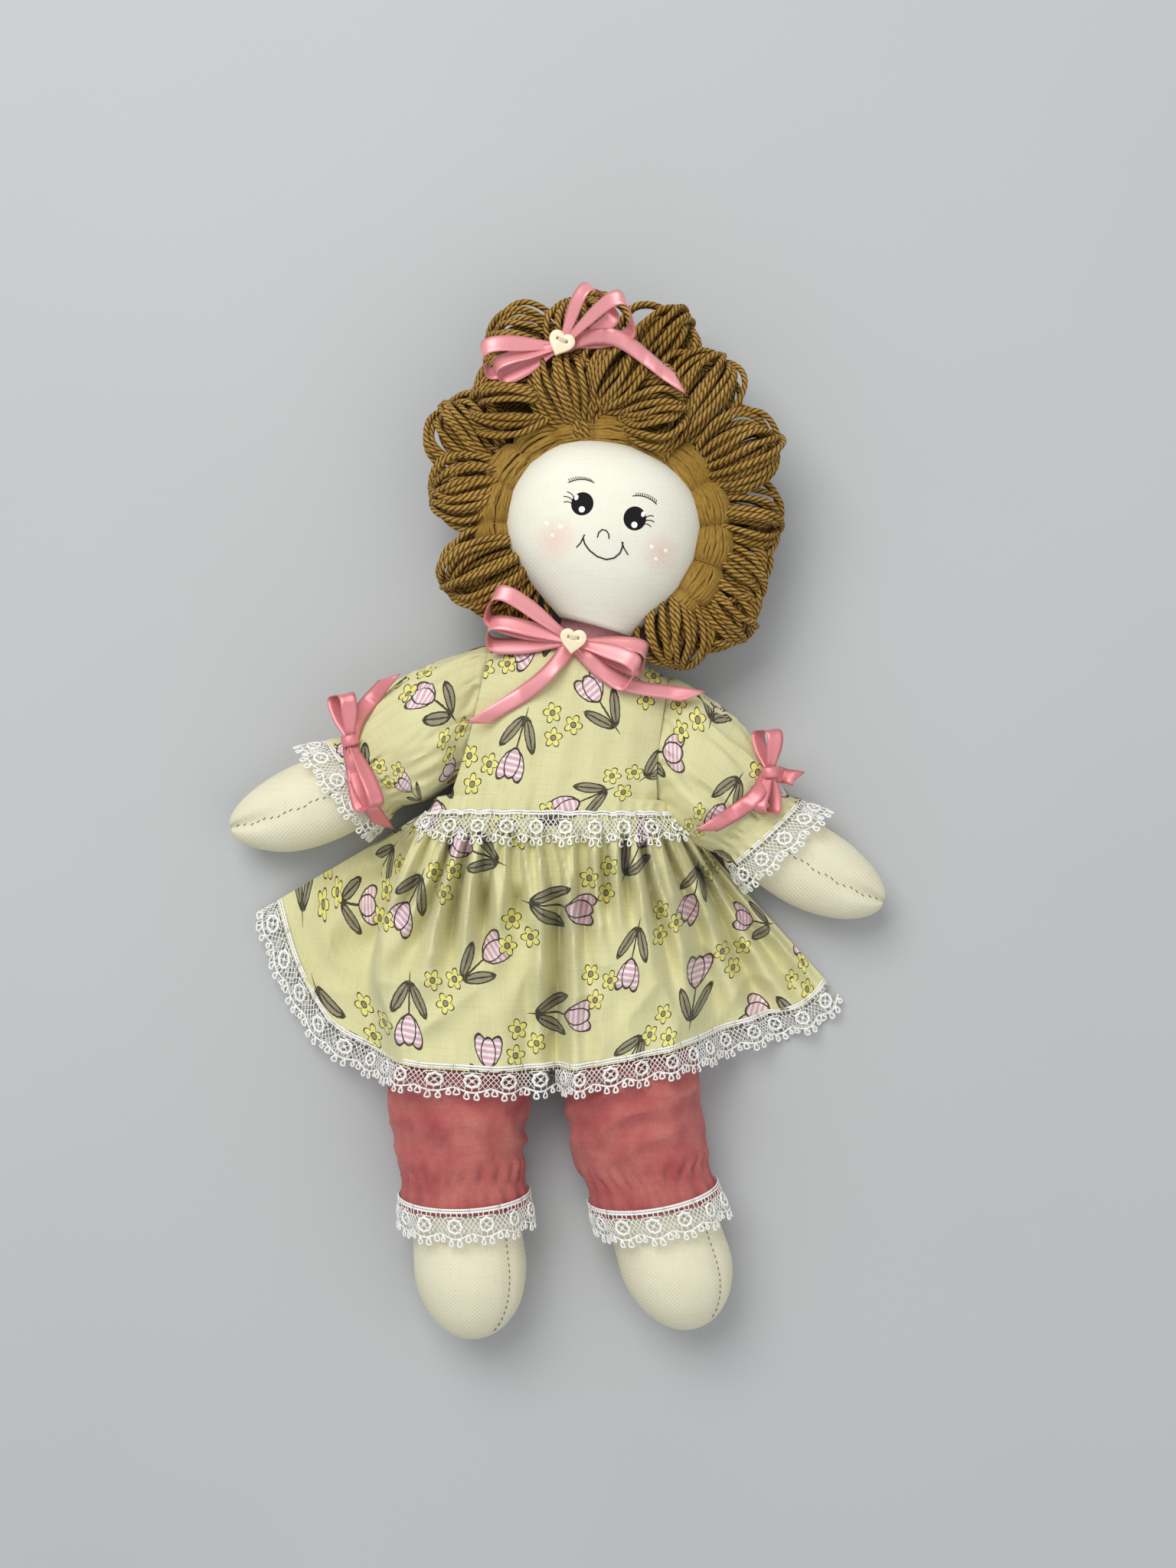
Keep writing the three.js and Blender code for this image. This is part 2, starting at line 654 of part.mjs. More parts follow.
// Lace along the waist seam and the hem, its free edge scalloped
function hemLace(front, drop) {
  const repeats = Math.round((2.4 * hemReach) / laceRepeat);
  const columns = across(2 * repeats);
  return [0, 1].map((t) =>
    columns.map((u) => {
      const edge = skirtPoint(u, 1, front);
      const out = edge.clone().sub(skirtPoint(u, 0.97, front)).setZ(0).normalize();
      const reach = laceWidth - scallopDepth * scallop(u * Math.PI * repeats, 1);
      const p = edge.addScaledVector(out, 2 * clearance + t * reach * drop);
      if (!front) p.z = 0;
      return p;
    }),
  );
}
put(doll, "hem_lace_front", sheet(hemLace(true, 0.8), laceThickness, V(0, 0, -1)), colours.lace);
put(doll, "hem_lace_back", sheet(hemLace(false, 0.7), laceThickness, Z), colours.lace);
const waistLaceShare = 0.9;
const waistRepeats = Math.round((2.4 * waistHalfWidth) / laceRepeat);
const waistGrid = [0, 1].map((t) =>
  across(3 * waistRepeats).map((u) => {
    const at = u * waistLaceShare;
    const length = skirtPoint(at, 0, true).distanceTo(skirtPoint(at, 0.25, true)) / 0.25;
    const reach = laceWidth - scallopDepth * scallop(u * Math.PI * waistRepeats, 1);
    return skirtPoint(at, (t * reach) / length, true);
  }),
);
const onTop = lifted(waistGrid, 5 * clearance + laceThickness, Z);
put(doll, "waist_lace", sheet(onTop, laceThickness, V(0, 0, -1)), colours.lace);
// The space that the skirt's top and the waist lace take with their clearance
const skirtSpaces = [
  sheet(lifted(frontGrid, 5 * clearance, Z), cloth + 10 * clearance, V(0, 0, -1)),
  sheet(lifted(backGrid, 5 * clearance, V(0, 0, -1)), cloth + 10 * clearance, Z),
  sheet(lifted(onTop, 4 * clearance, Z), laceThickness + 8 * clearance, V(0, 0, -1)),
];

// Sleeves: full, gathered round the armhole and drawn in by elastic at the cuff
const sleeveRowShares = [0, 0.08, 0.2, 0.38, 0.58, 0.78, 0.93];
for (const [side, sign] of Object.entries(sides)) {
  const group = armGroups[side];
  const place = (p) => p.clone().applyAxisAngle(Z, group.rotation.z).add(group.position);
  const count = 16;
  const angles = steps(count).slice(0, count).map((share) => share * turn);
  const armhole = angles.map((angle) => {
    const v = mix(underarmPoint[1] / shoulderPoint[1], 1, (1 + Math.cos(angle)) / 2);
    const a = panelEdge(v) + 4 * clearance;
    return fromTrunk(sign * a, v * shoulderPoint[1], midHeight + Math.sin(angle) * bodiceHalfDepth * 0.62);
  });
  const cuffs = [0, elasticWidth, 1.6 * elasticWidth].map((s, i) => {
    const grown = cuffWall + (i === 2 ? cloth : 0);
    const points = armRing(cuffPlace - elasticWidth / 2 + s, sign, grown);
    const middle = points.reduce((sum, p) => sum.add(p), V(0, 0, 0)).divideScalar(points.length);
    const wide = points[0].distanceTo(points[points.length / 2]) / 2;
    const deep = points[points.length / 4].distanceTo(points[(3 * points.length) / 4]) / 2;
    return angles.map((angle) =>
      place(
        V(
          middle.x + sign * wide * Math.cos(angle),
          middle.y,
          Math.max(middle.z + deep * Math.sin(angle), clearance),
        ),
      ),
    );
  });
  const hole = armhole.reduce((sum, p) => sum.add(p), V(0, 0, 0)).divideScalar(count);
  const cuffMiddle = cuffs[0][0].clone().add(cuffs[0][count / 2]).divideScalar(2);
  const rows = sleeveRowShares.map((t) => {
    const puff = sleevePuff * Math.sin(Math.PI * t) ** 0.7;
    return angles.map((angle, j) => {
      const p = armhole[j].clone().lerp(cuffs[0][j], t);
      const out = p.clone().sub(hole.clone().lerp(cuffMiddle, t));
      out.z = 0;
      const gather = Math.sin(Math.PI * Math.min(t + 0.15, 1));
      const folds = sleeveFoldDepth * (1 + Math.cos(sleeveFolds * angle)) * gather;
      const spread = Math.cos(angle) > 0 ? 1 : 0.3;
      p.addScaledVector(out.normalize(), (puff + folds) * Math.abs(Math.cos(angle)) * spread);
      const full = mix(bodiceHalfDepth * 0.62, sleeveHalfDepth - folds, smooth(t / 0.3));
      const end = Math.abs(cuffs[0][count / 4].z - cuffs[0][(3 * count) / 4].z) / 2;
      const deep = mix(full, end, smooth((t - 0.55) / 0.45));
      const level = mix(midHeight, cuffHeight, smooth((t - 0.4) / 0.6));
      p.z = Math.max(level + (deep + folds * Math.sin(Math.PI * t)) * Math.sin(angle), clearance);
      return p;
    });
  });
  const sleeve = cut(tube([...rows, ...cuffs], cloth), ...bodiceSpaces, ...skirtSpaces);
  put(doll, "sleeve_" + side, sleeve, colours.dress);
}

for (const [side, sign] of Object.entries(sides)) {
  const start = cuffPlace - elasticWidth / 2 + 1.6 * elasticWidth + 3 * clearance;
  const count = Math.round((turn * armRadius) / laceRepeat) + 2;
  const lace = [0, 1].map((t) => {
    const points = armRing(start + t * laceWidth, sign, cuffWall);
    const middle = points.reduce((sum, p) => sum.add(p), V(0, 0, 0)).divideScalar(points.length);
    const wide = points[0].distanceTo(points[points.length / 2]) / 2 + t * 2 * cloth;
    const deep = points[points.length / 4].distanceTo(points[(3 * points.length) / 4]) / 2;
    return ring(middle, X, Z, wide, deep - t * clearance, 3 * count).map((p, j) => {
      if (t === 1) p.y += scallopDepth * scallop((j * turn) / (3 * count), count);
      p.z = Math.max(p.z, clearance);
      return p;
    });
  });
  put(armGroups[side], "sleeve_lace_" + side, tube(lace, laceThickness), colours.lace);
}

// Head: egg-shaped, narrowing to the neck, its chin drawn to one side by the lean of the neck
const head = new THREE.Group();
head.position.set(neckInDoll.x + headOffset, neckInDoll.y + headRise, 0);
head.rotation.z = -radians(headLean);
doll.add(head);
doll.updateMatrixWorld(true);
const moved = (geometry, from, to) =>
  geometry.clone().applyMatrix4(from.matrixWorld).applyMatrix4(to.matrixWorld.clone().invert());
const headWidthShares = [
  [0, 0.42], [0.13, 0.66], [0.26, 0.86], [0.4, 0.97], [0.52, 1], [0.66, 0.97], [0.78, 0.87], [0.88, 0.7],
  [0.95, 0.46], [1, 0.1],
];
const headDepthShares = [
  [0, 0.5], [0.13, 0.72], [0.26, 0.88], [0.4, 0.97], [0.52, 1], [0.66, 0.98], [0.78, 0.9], [0.88, 0.74],
  [0.95, 0.5], [1, 0.12],
];
const headRowShares = [0, 0.07, 0.13, 0.2, 0.28, 0.4, 0.52, 0.66, 0.78, 0.85, 0.91, 0.96, 0.99];
const headWidth = (t) => headHalfWidth * follow(headWidthShares, t);
function headSolid(grow) {
  return loft(headRowShares.map((t) => {
    const shift = neckShift * Math.max(1 - t / 0.4, 0) ** 2;
    const y = -headHalfHeight + 2 * headHalfHeight * t;
    const depth = headHalfDepth * follow(headDepthShares, t) + grow;
    return ring(V(shift, y, headMidHeight), X, Z, headWidth(t) + grow, depth, 20);
  }));
}
put(head, "head", cut(headSolid(0), moved(neckHollow, trunk, head)), colours.cotton);

// Hair: a roll round the face, a thick cap behind the head, and bunches of loops all round
function rollSolid(grow) {
  const rings = steps(20).map((t) => {
    const angle = radians(mix(rollFromDegrees, rollToDegrees, t));
    const at = (turned) => {
      const y = headHalfHeight * Math.sin(turned);
      const full = rollRadius + 2 * clearance;
      const x = (headHalfWidth + full) * Math.cos(turned);
      return V(x, y + full * Math.sin(turned), headMidHeight + rollRadius / 2);
    };
    const centre = at(angle);
    const along = at(angle + 0.01).sub(at(angle - 0.01)).normalize();
    const outward = V(0, 0, 0).crossVectors(along, Z).normalize();
    const end = rounded(Math.min(t, 1 - t) + 0.004, 0.05, 2);
    return ring(centre, outward, Z, rollRadius * end + grow, rollRadius * end + grow, 8);
  });
  return loft(rings);
}
const capShares = [[0, 0.84], [0.15, 0.94], [0.4, 1], [0.8, 1], [1, 0.95]];
function capSolid(grow) {
  const height = headMidHeight - rollRadius / 2 - 2 * clearance;
  return loft([0, 0.15, 0.4, 0.8, 1].map((t) => {
    const share = follow(capShares, t);
    const wide = headHalfWidth + capOverhang;
    const points = ring(V(0, 0, t * height), X, Y, wide, headHalfHeight + capOverhang, 20);
    return points.map((p) =>
      V(
        p.x * share + Math.sign(p.x) * grow,
        p.y * share * (p.y < 0 ? 0.72 : 1) + Math.sign(p.y) * grow,
        p.z + (t === 1 ? grow : 0),
      ),
    );
  }));
}
put(head, "hair_roll", cut(rollSolid(0), headSolid(clearance)), colours.yarn);
const neckInHead = moved(neckHollow, trunk, head);
const cap = cut(capSolid(0), headSolid(clearance), rollSolid(clearance), neckInHead);
put(head, "hair_cap", cap, colours.yarn);
const bunchShares = [
  [107, 1.86, 0.8], [91, 1.95, 0.76], [74, 1.86, 0.76], [126, 1.52, 0.82], [101, 1.42, 0.84], [79, 1.42, 0.84],
  [55, 1.5, 0.82], [31, 1.55, 0.7], [8, 1.5, 0.78], [-15, 1.42, 0.6], [146, 1.62, 0.6], [168, 1.5, 0.78],
  [198, 1.4, 0.6], [-51, 1.26, 0.8], [-32, 1.42, 0.62],
];
const bunchSolid = ([degrees, reach, height], grow) => {
  const angle = radians(degrees);
  const lean = angle - head.rotation.z;
  const [length, width, depth] = [bunchLength / 2, bunchHalfWidth, bunchHalfDepth].map((size) => size + grow);
  const droplet = ball(V(0, 0, 0), length, width, depth, 8, 6);
  const centre = V(Math.cos(lean), Math.sin(lean), 0).multiplyScalar(reach * headHalfWidth);
  return droplet.rotateZ(lean).translate(centre.x, centre.y, height * headMidHeight);
};
const kept = [headSolid(clearance), rollSolid(clearance), capSolid(clearance)];
bunchShares.forEach((shares, i) => {
  const name = "hair_bunch_" + String(i + 1).padStart(2, "0");
  put(head, name, cut(bunchSolid(shares, 0), ...kept), colours.yarn);
  kept.push(bunchSolid(shares, clearance));
});

// Height of the highest of the pieces made so far under a ribbon at a point, given in the doll's frame
const downward = new THREE.Raycaster();
function heightUnder(x, y, lowest) {
  const around = ring(V(x, y, 4 * midHeight), X, Y, 0.6 * ribbonWidth, 0.6 * ribbonWidth, 12);
  let highest = lowest;
  for (const start of [V(x, y, 4 * midHeight), ...around]) {
    downward.set(start.applyMatrix4(doll.matrixWorld), V(0, 0, -1));
    const [hit] = downward.intersectObject(doll, true);
    if (hit) highest = Math.max(highest, hit.point.z);
  }
  return highest;
}
// Ribbon bows: one ribbon, from its first tail through loops laid to and fro, to its last tail.
// Each is given as degrees and reach. It lies on the pieces under it, but sags no deeper than ribbonSag.
function bow([x, y], [first, loops, last]) {
  doll.updateMatrixWorld(true);
  const base = heightUnder(x, y, 0);
  const rows = [];
  let level = clearance + ribbonThickness;
  let width = null;
  const add = (degrees, reach, height) => {
    const out = V(Math.cos(radians(degrees)), Math.sin(radians(degrees)), 0);
    const side = V(-out.y, out.x, 0).multiplyScalar(ribbonWidth / 2);
    if (width && side.dot(width) < 0) side.negate();
    width = side;
    const p = V(x, y, 0).addScaledVector(out, reach);
    p.z = heightUnder(p.x, p.y, base - ribbonSag) + height;
    rows.push([p.clone().sub(side), p.clone().add(side)]);
  };
  const tail = steps(5);
  for (const t of tail.slice(1).reverse()) add(first[0], first[1] * t, level);
  for (const [degrees, reach] of loops) {
    for (const t of steps(6).slice(0, 6)) {
      const fold = (1 - Math.cos(Math.PI * t)) / 2;
      add(degrees, reach * Math.sin(Math.PI * t) ** 0.7, level + loopHeight * fold);
    }
    level += loopHeight;
  }
  for (const t of tail) add(last[0], last[1] * t, level * (1 - 0.5 * t));
  const normals = gridNormals(rows, false);
  const rings = rows.map((row, i) => [
    ...row.map((p, j) => p.clone().addScaledVector(normals[i][j], ribbonThickness / 2)),
    ...row.map((p, j) => p.clone().addScaledVector(normals[i][j], -ribbonThickness / 2)).reverse(),
  ]);
  const middle = rings.flat().filter((p) => Math.hypot(p.x - x, p.y - y) < buttonWidth);
  const top = Math.max(...middle.map((p) => p.z));
  return { ribbon: loft(rings, { flatEnds: true }), top };
}
function button(shape) {
  for (const x of [-1, 1]) {
    const hole = new THREE.Path();
    hole.absarc((x * buttonWidth) / 6, 0, buttonHoleRadius, 0, turn, true);
    shape.holes.push(hole);
  }
  return new THREE.ExtrudeGeometry(shape, {
    depth: buttonThickness - 2 * clearance,
    bevelThickness: clearance,
    bevelSize: clearance,
    bevelOffset: -clearance,
    bevelSegments: 1,
    curveSegments: 3,
  }).translate(0, 0, clearance);
}
function heart() {
  const w = buttonWidth / 2;
  const shape = new THREE.Shape();
  shape.moveTo(0, -w);
  shape.bezierCurveTo(w * 0.35, -w * 0.6, w, -w * 0.2, w, w * 0.3);
  shape.bezierCurveTo(w, w * 0.85, w * 0.25, w * 1.05, 0, w * 0.5);
  shape.bezierCurveTo(-w * 0.25, w * 1.05, -w, w * 0.85, -w, w * 0.3);
  shape.bezierCurveTo(-w, -w * 0.2, -w * 0.35, -w * 0.6, 0, -w);
  return shape;
}
// A ribbon's first tail, loops and last tail: degrees and share of the bow's full reach.
const bowShares = {
  neck: [[223, 1.35], [[163, 1], [-10, 0.78], [176, 0.88], [4, 0.65]], [-28, 1.38]],
  head: [[212, 0.75], [[38, 1.02], [195, 0.8], [22, 0.9], [206, 0.63]], [-12, 1.35]],
  left: [[225, 0.88], [[95, 0.4], [-107, 0.45]], [-10, 0.3]],
  right: [[63, 0.75], [[95, 0.48], [-80, 0.45]], [-75, 0.95]],
};
const sized = ([degrees, share]) => [degrees, share * bowReach];
for (const [name, [first, loops, last]] of Object.entries(bowShares)) {
  const made = bow(bowPoints[name], [sized(first), loops.map(sized), sized(last)]);
  const group = { neck: doll, head, ...armGroups }[name];
  const placed = (geometry) => (group === doll ? geometry : moved(geometry, doll, group));
  if (name === "neck" || name === "head") {
    const top = button(heart()).translate(...bowPoints[name], made.top + clearance);
    put(group, name + "_bow", placed(made.ribbon), colours.satin);
    put(group, name + "_button", placed(top), colours.button);
  } else {
    put(group, "sleeve_bow_" + name, placed(made.ribbon), colours.coralSatin);
  }
}

export default doll;
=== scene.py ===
# A rag doll on its back: stuffed calico body, looped yarn hair, printed cotton dress with guipure lace,
# gathered bloomers and satin ribbon bows. Shapes are worked out in millimetres on the doll's own pattern
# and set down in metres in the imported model's frame: +Y to the head, +Z up from the floor.
import json
import random
from math import copysign, cos, exp, hypot, pi, radians, sin, sqrt, tan, tau

import bmesh
import bpy
from mathutils import Matrix, Vector, noise
from mathutils.bvhtree import BVHTree

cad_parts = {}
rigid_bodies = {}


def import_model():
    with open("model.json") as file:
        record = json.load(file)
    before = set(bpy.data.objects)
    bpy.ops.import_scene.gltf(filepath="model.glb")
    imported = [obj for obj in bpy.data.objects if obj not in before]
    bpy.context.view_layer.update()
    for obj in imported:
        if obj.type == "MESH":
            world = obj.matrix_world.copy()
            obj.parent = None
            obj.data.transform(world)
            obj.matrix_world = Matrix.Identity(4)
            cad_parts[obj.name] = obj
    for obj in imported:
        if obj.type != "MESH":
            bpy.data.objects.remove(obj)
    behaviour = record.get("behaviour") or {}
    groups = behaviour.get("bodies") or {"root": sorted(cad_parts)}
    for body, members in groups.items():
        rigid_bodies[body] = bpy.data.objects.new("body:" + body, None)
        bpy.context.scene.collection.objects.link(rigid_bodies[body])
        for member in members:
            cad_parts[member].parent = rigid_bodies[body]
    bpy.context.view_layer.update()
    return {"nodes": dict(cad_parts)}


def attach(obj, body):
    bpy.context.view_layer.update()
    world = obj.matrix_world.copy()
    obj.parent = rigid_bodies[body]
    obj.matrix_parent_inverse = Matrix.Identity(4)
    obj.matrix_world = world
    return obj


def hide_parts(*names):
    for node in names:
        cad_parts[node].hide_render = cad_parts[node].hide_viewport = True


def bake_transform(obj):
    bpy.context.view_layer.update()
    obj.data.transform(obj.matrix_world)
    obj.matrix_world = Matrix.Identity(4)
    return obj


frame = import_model()

# Sizes of the pattern, in millimetres
MM = 0.001
REST = (5.209, 33.544)  # the pattern's point that lies on the frame's origin
TRUNK_TURN = radians(10)
WAIST_UP = 4  # the waist's place on the pattern
MID = 24.0  # height of the middle of trunk and limbs above the floor
SIDES = {"left": 1, "right": -1}
YARN = 2.5
RIBBON = 7.0
LACE_REPEAT = 13.0
PLY, ROSE_PLY = 0.45, 0.5  # thickness of the dress's and the bloomers' cotton with its finish
# Where each cut lies on the printed cloth, and the size of the skirt's and sleeves' cuts
BODICE_ON_CLOTH, SKIRT_ON_CLOTH, BACK_ON_CLOTH, SLEEVE_ON_CLOTH = (300, 200), (200, 177), (600, 177), 900
SKIRT_CUT_HALF, SKIRT_CUT_DEEP, SLEEVE_CUT = 150, 108, 170
ROUND = 2.4  # how square the trunk's section is: 2 would be an ellipse
AXIS_X, AXIS_Z = Vector((1, 0, 0)), Vector((0, 0, 1))


def mix(a, b, t):
    return a + (b - a) * t


def clamp(t, low=0.0, high=1.0):
    return max(low, min(high, t))


def smooth(t):
    t = clamp(t)
    return t * t * (3 - 2 * t)


def bell(x):
    """1 in the middle, falling to nothing on both sides."""
    return exp(-(x ** 2))


def around(count):
    """Angles of so many equal steps round a full turn."""
    return [tau * j / count for j in range(count)]


def towards(angle):
    """The direction at this angle, flat on the floor."""
    return Vector((cos(angle), sin(angle), 0))


def left_of(direction):
    return Vector((-direction.y, direction.x, 0))


def follow(table, t):
    """Value at t of a table of (place, value) pairs, on a smooth curve through them."""
    if t <= table[0][0]:
        return table[0][1]
    if t >= table[-1][0]:
        return table[-1][1]
    k = next(i for i, (at, _) in enumerate(table) if at >= t)
    (t0, v0), (t1, v1) = table[k - 1], table[k]
    before = table[k - 2] if k > 1 else table[k - 1]
    after = table[k + 1] if k + 1 < len(table) else table[k]
    h = t1 - t0
    s = (t - t0) / h
    m0 = (v1 - before[1]) / (t1 - before[0]) * h
    m1 = (after[1] - v0) / (after[0] - t0) * h
    return (
        (2 * s**3 - 3 * s**2 + 1) * v0
        + (s**3 - 2 * s**2 + s) * m0
        + (3 * s**2 - 2 * s**3) * v1
        + (s**3 - s**2) * m1
    )


def wobble(x, y, z=0.0, size=20.0, seed=0.0):
    """Smooth unevenness from -1 to 1, with bumps about size millimetres across."""
    return noise.noise(Vector((x / size + seed, y / size - seed, z / size + 2 * seed)))


def on_trunk(a, b, z=0.0):
    """A point a millimetres across and b up the trunk from the waist, which leans as the doll lies."""
    c, s = cos(TRUNK_TURN), sin(TRUNK_TURN)
    return Vector((a * c + b * s, WAIST_UP - a * s + b * c, z))


def to_frame(p):
    return Vector(((p[0] - REST[0]) * MM, (p[1] - REST[1]) * MM, p[2] * MM))


def pick(obj):
    """Makes this the only object that the next operator works on."""
    for other in list(bpy.context.view_layer.objects):
        other.select_set(False)
    if obj:
        bpy.context.view_layer.objects.active = obj
        obj.select_set(True)


def apply_modifiers(obj):
    pick(obj)
    for modifier in list(obj.modifiers):
        bpy.ops.object.modifier_apply(modifier=modifier.name)
    obj.select_set(False)


def thicken(obj, thickness, offset):
    wall = obj.modifiers.new("thickness", "SOLIDIFY")
    wall.thickness = thickness * MM
    wall.offset = offset
    apply_modifiers(obj)


def rework(mesh, *steps):
    """Runs these steps on the mesh's own faces and edges."""
    shape = bmesh.new()
    shape.from_mesh(mesh)
    for step in steps:
        step(shape)
    shape.to_mesh(mesh)
    shape.free()


def face_outward(shape):
    bmesh.ops.recalc_face_normals(shape, faces=shape.faces)


def weld(shape):
    bmesh.ops.remove_doubles(shape, verts=shape.verts, dist=1e-6)


def crisp_edges(shape):
    """Keeps the cut edge of a sheet from shading as if it were rounded."""
    for edge in shape.edges:
        if len(edge.link_faces) == 2 and edge.calc_face_angle(0) > 0.9:
            edge.smooth = False


def dress(mesh, material):
    mesh.materials.clear()
    mesh.materials.append(material)
    for face in mesh.polygons:
        face.use_smooth = True


def add_to_scene(name, data):
    obj = bpy.data.objects.new(name, data)
    bpy.context.scene.collection.objects.link(obj)
    return obj


def make(name, points, faces, material, cut=None, outward=True, wrap=None):
    """A new piece from points in millimetres. cut gives each point its place on the flat cloth, and wrap is
    the (axis, length) after which that place starts again round a closed piece."""
    mesh = bpy.data.meshes.new(name)
    mesh.from_pydata([to_frame(p) for p in points], [], faces)
    if cut is not None:
        layer = mesh.uv_layers.new(name="cut")
        for face in mesh.polygons:
            places = [list(cut[mesh.loops[k].vertex_index]) for k in face.loop_indices]
            if wrap:
                axis, length = wrap
                most = max(place[axis] for place in places)
                for place in places:
                    if most - place[axis] > length / 2:
                        place[axis] += length
            for k, place in zip(face.loop_indices, places):
                layer.data[k].uv = place
    mesh.update()
    obj = add_to_scene(name, mesh)
    dress(mesh, material)
    if outward:
        rework(mesh, face_outward)
    return obj


def ring_faces(rows, columns, closed, start=0):
    faces = []
    wide = columns if closed else columns - 1
    for i in range(rows - 1):
        for j in range(wide):
            k = (j + 1) % columns
            faces.append((start + i * columns + j, start + i * columns + k,
                          start + (i + 1) * columns + k, start + (i + 1) * columns + j))
    return faces


def stuffed(name, rings, material):
    """A closed, stuffed form through rings of points, its two ends drawn together."""
    columns = len(rings[0])
    points = [p for ring in rings for p in ring]
    faces = ring_faces(len(rings), columns, True)
    for row, flip in ((0, True), (len(rings) - 1, False)):
        points.append(sum((Vector(p) for p in rings[row]), Vector()) / columns)
        for j in range(columns):
            a, b = row * columns + j, row * columns + (j + 1) % columns
            faces.append((b, a, len(points) - 1) if flip else (a, b, len(points) - 1))
    return make(name, points, faces, material)


def grid_of(rows, columns, place):
    """Rows of points and of their places on the flat cloth. place(i, j) gives the two together."""
    both = [[place(i, j) for j in range(columns)] for i in range(rows)]
    return [[p for p, _ in row] for row in both], [[flat for _, flat in row] for row in both]


def cloth_sheet(name, grid, cut, material, thickness=PLY, closed=False, up=True):
    """A sheet of cloth through rows of points, thickened away from the side that shows."""
    rows, columns = len(grid), len(grid[0])
    points = [p for row in grid for p in row]
    wrap = (0, (cut[0][1][0] - cut[0][0][0]) * columns) if closed else None
    obj = make(name, points, ring_faces(rows, columns, closed), material, [c for row in cut for c in row],
               outward=False, wrap=wrap)
    mesh = obj.data
    if closed:
        middle = sum((Vector(v.co) for v in mesh.vertices), Vector()) / len(points)
        outward = sum((f.center - middle).dot(f.normal) * f.area for f in mesh.polygons)
    else:
        outward = sum((f.normal * f.area for f in mesh.polygons), Vector()).z * (1 if up else -1)
    if outward < 0:
        mesh.flip_normals()
    thicken(obj, thickness, -1)
    rework(obj.data, crisp_edges)
    return obj


def superellipse(centre, wide, deep, angle, power):
    """A point of an upright section, squarer than an ellipse where power is over 2."""
    c, s = cos(angle), sin(angle)
    u = copysign(abs(c) ** (2 / power), c)
    v = copysign(abs(s) ** (2 / power), s)
    return centre + AXIS_X * (u * wide) + AXIS_Z * (v * deep)


def frames_along(points):
    """A side and an up direction at each point of a path, carried along without twisting."""
    frames = []
    up = None
    for i in range(len(points)):
        ahead = (points[min(i + 1, len(points) - 1)] - points[max(i - 1, 0)]).normalized()
        if up is None:
            up = AXIS_Z if abs(ahead.z) < 0.9 else AXIS_X
        side = ahead.cross(up)
        side = side.normalized() if side.length > 1e-6 else AXIS_X.copy()
        up = side.cross(ahead).normalized()
        frames.append((side, up))
    return frames


class Threads:
    """Many threads, yarns or stitches gathered in one mesh."""

    def __init__(self):
        self.points, self.faces, self.along = [], [], []

    def lay(self, path, radius, sides=6, closed=False, flat=1.0, start_at=0.0):
        """Sweeps a round section along path. start_at is where its twist begins, in millimetres."""
        path = [Vector(p) for p in path]
        start, last = len(self.points), len(self.points) + (len(path) - 1) * sides
        length = start_at
        for i, (p, (side, up)) in enumerate(zip(path, frames_along(path))):
            if i:
                length += (p - path[i - 1]).length
            for j, angle in enumerate(around(sides)):
                self.points.append(p + side * (cos(angle) * radius) + up * (sin(angle) * radius * flat))
                self.along.append((length * 0.1, j / sides))
        self.faces += ring_faces(len(path), sides, True, start)
        if closed:
            for j in range(sides):
                k = (j + 1) % sides
                self.faces.append((last + j, last + k, start + k, start + j))
        else:
            self.faces.append(tuple(start + j for j in reversed(range(sides))))
            self.faces.append(tuple(last + j for j in range(sides)))

    def piece(self, name, material):
        return make(name, self.points, self.faces, material, self.along, wrap=(1, 1.0))


def surface_below(*objects):
    """The height in millimetres of the highest of these pieces under a point of the pattern."""
    trees = []
    for obj in objects:
        shape = bmesh.new()
        shape.from_mesh(obj.data)
        trees.append(BVHTree.FromBMesh(shape))
        shape.free()

    def height(x, y, otherwise=0.0):
        start = to_frame((x, y, 200.0))
        hits = [tree.ray_cast(start, -AXIS_Z)[0] for tree in trees]
        return max([otherwise] + [hit.z / MM for hit in hits if hit is not None])

    return height


def shade(code):
    """Linear colour of an sRGB hex value."""
    parts = [int(code[i:i + 2], 16) / 255 for i in (0, 2, 4)]
    return tuple(c / 12.92 if c <= 0.04045 else ((c + 0.055) / 1.055) ** 2.4 for c in parts) + (1.0,)


def node(tree, kind, *values, named=None, **settings):
    """Adds a node. kind is its type with any operation after a full stop. values fill its inputs in order
    and named fills them by name, each with a constant, a socket or a node, whose first output is taken."""
    kind, _, operation = kind.partition(".")
    made = tree.nodes.new("ShaderNode" + kind)
    if operation:
        made.operation = operation
    for key, value in settings.items():
        setattr(made, key, value)
    for key, value in list(enumerate(values)) + list((named or {}).items()):
        if isinstance(value, bpy.types.Node):
            value = value.outputs[0]
        if isinstance(value, bpy.types.NodeSocket):
            tree.links.new(value, made.inputs[key])
        else:
            made.inputs[key].default_value = value
    return made


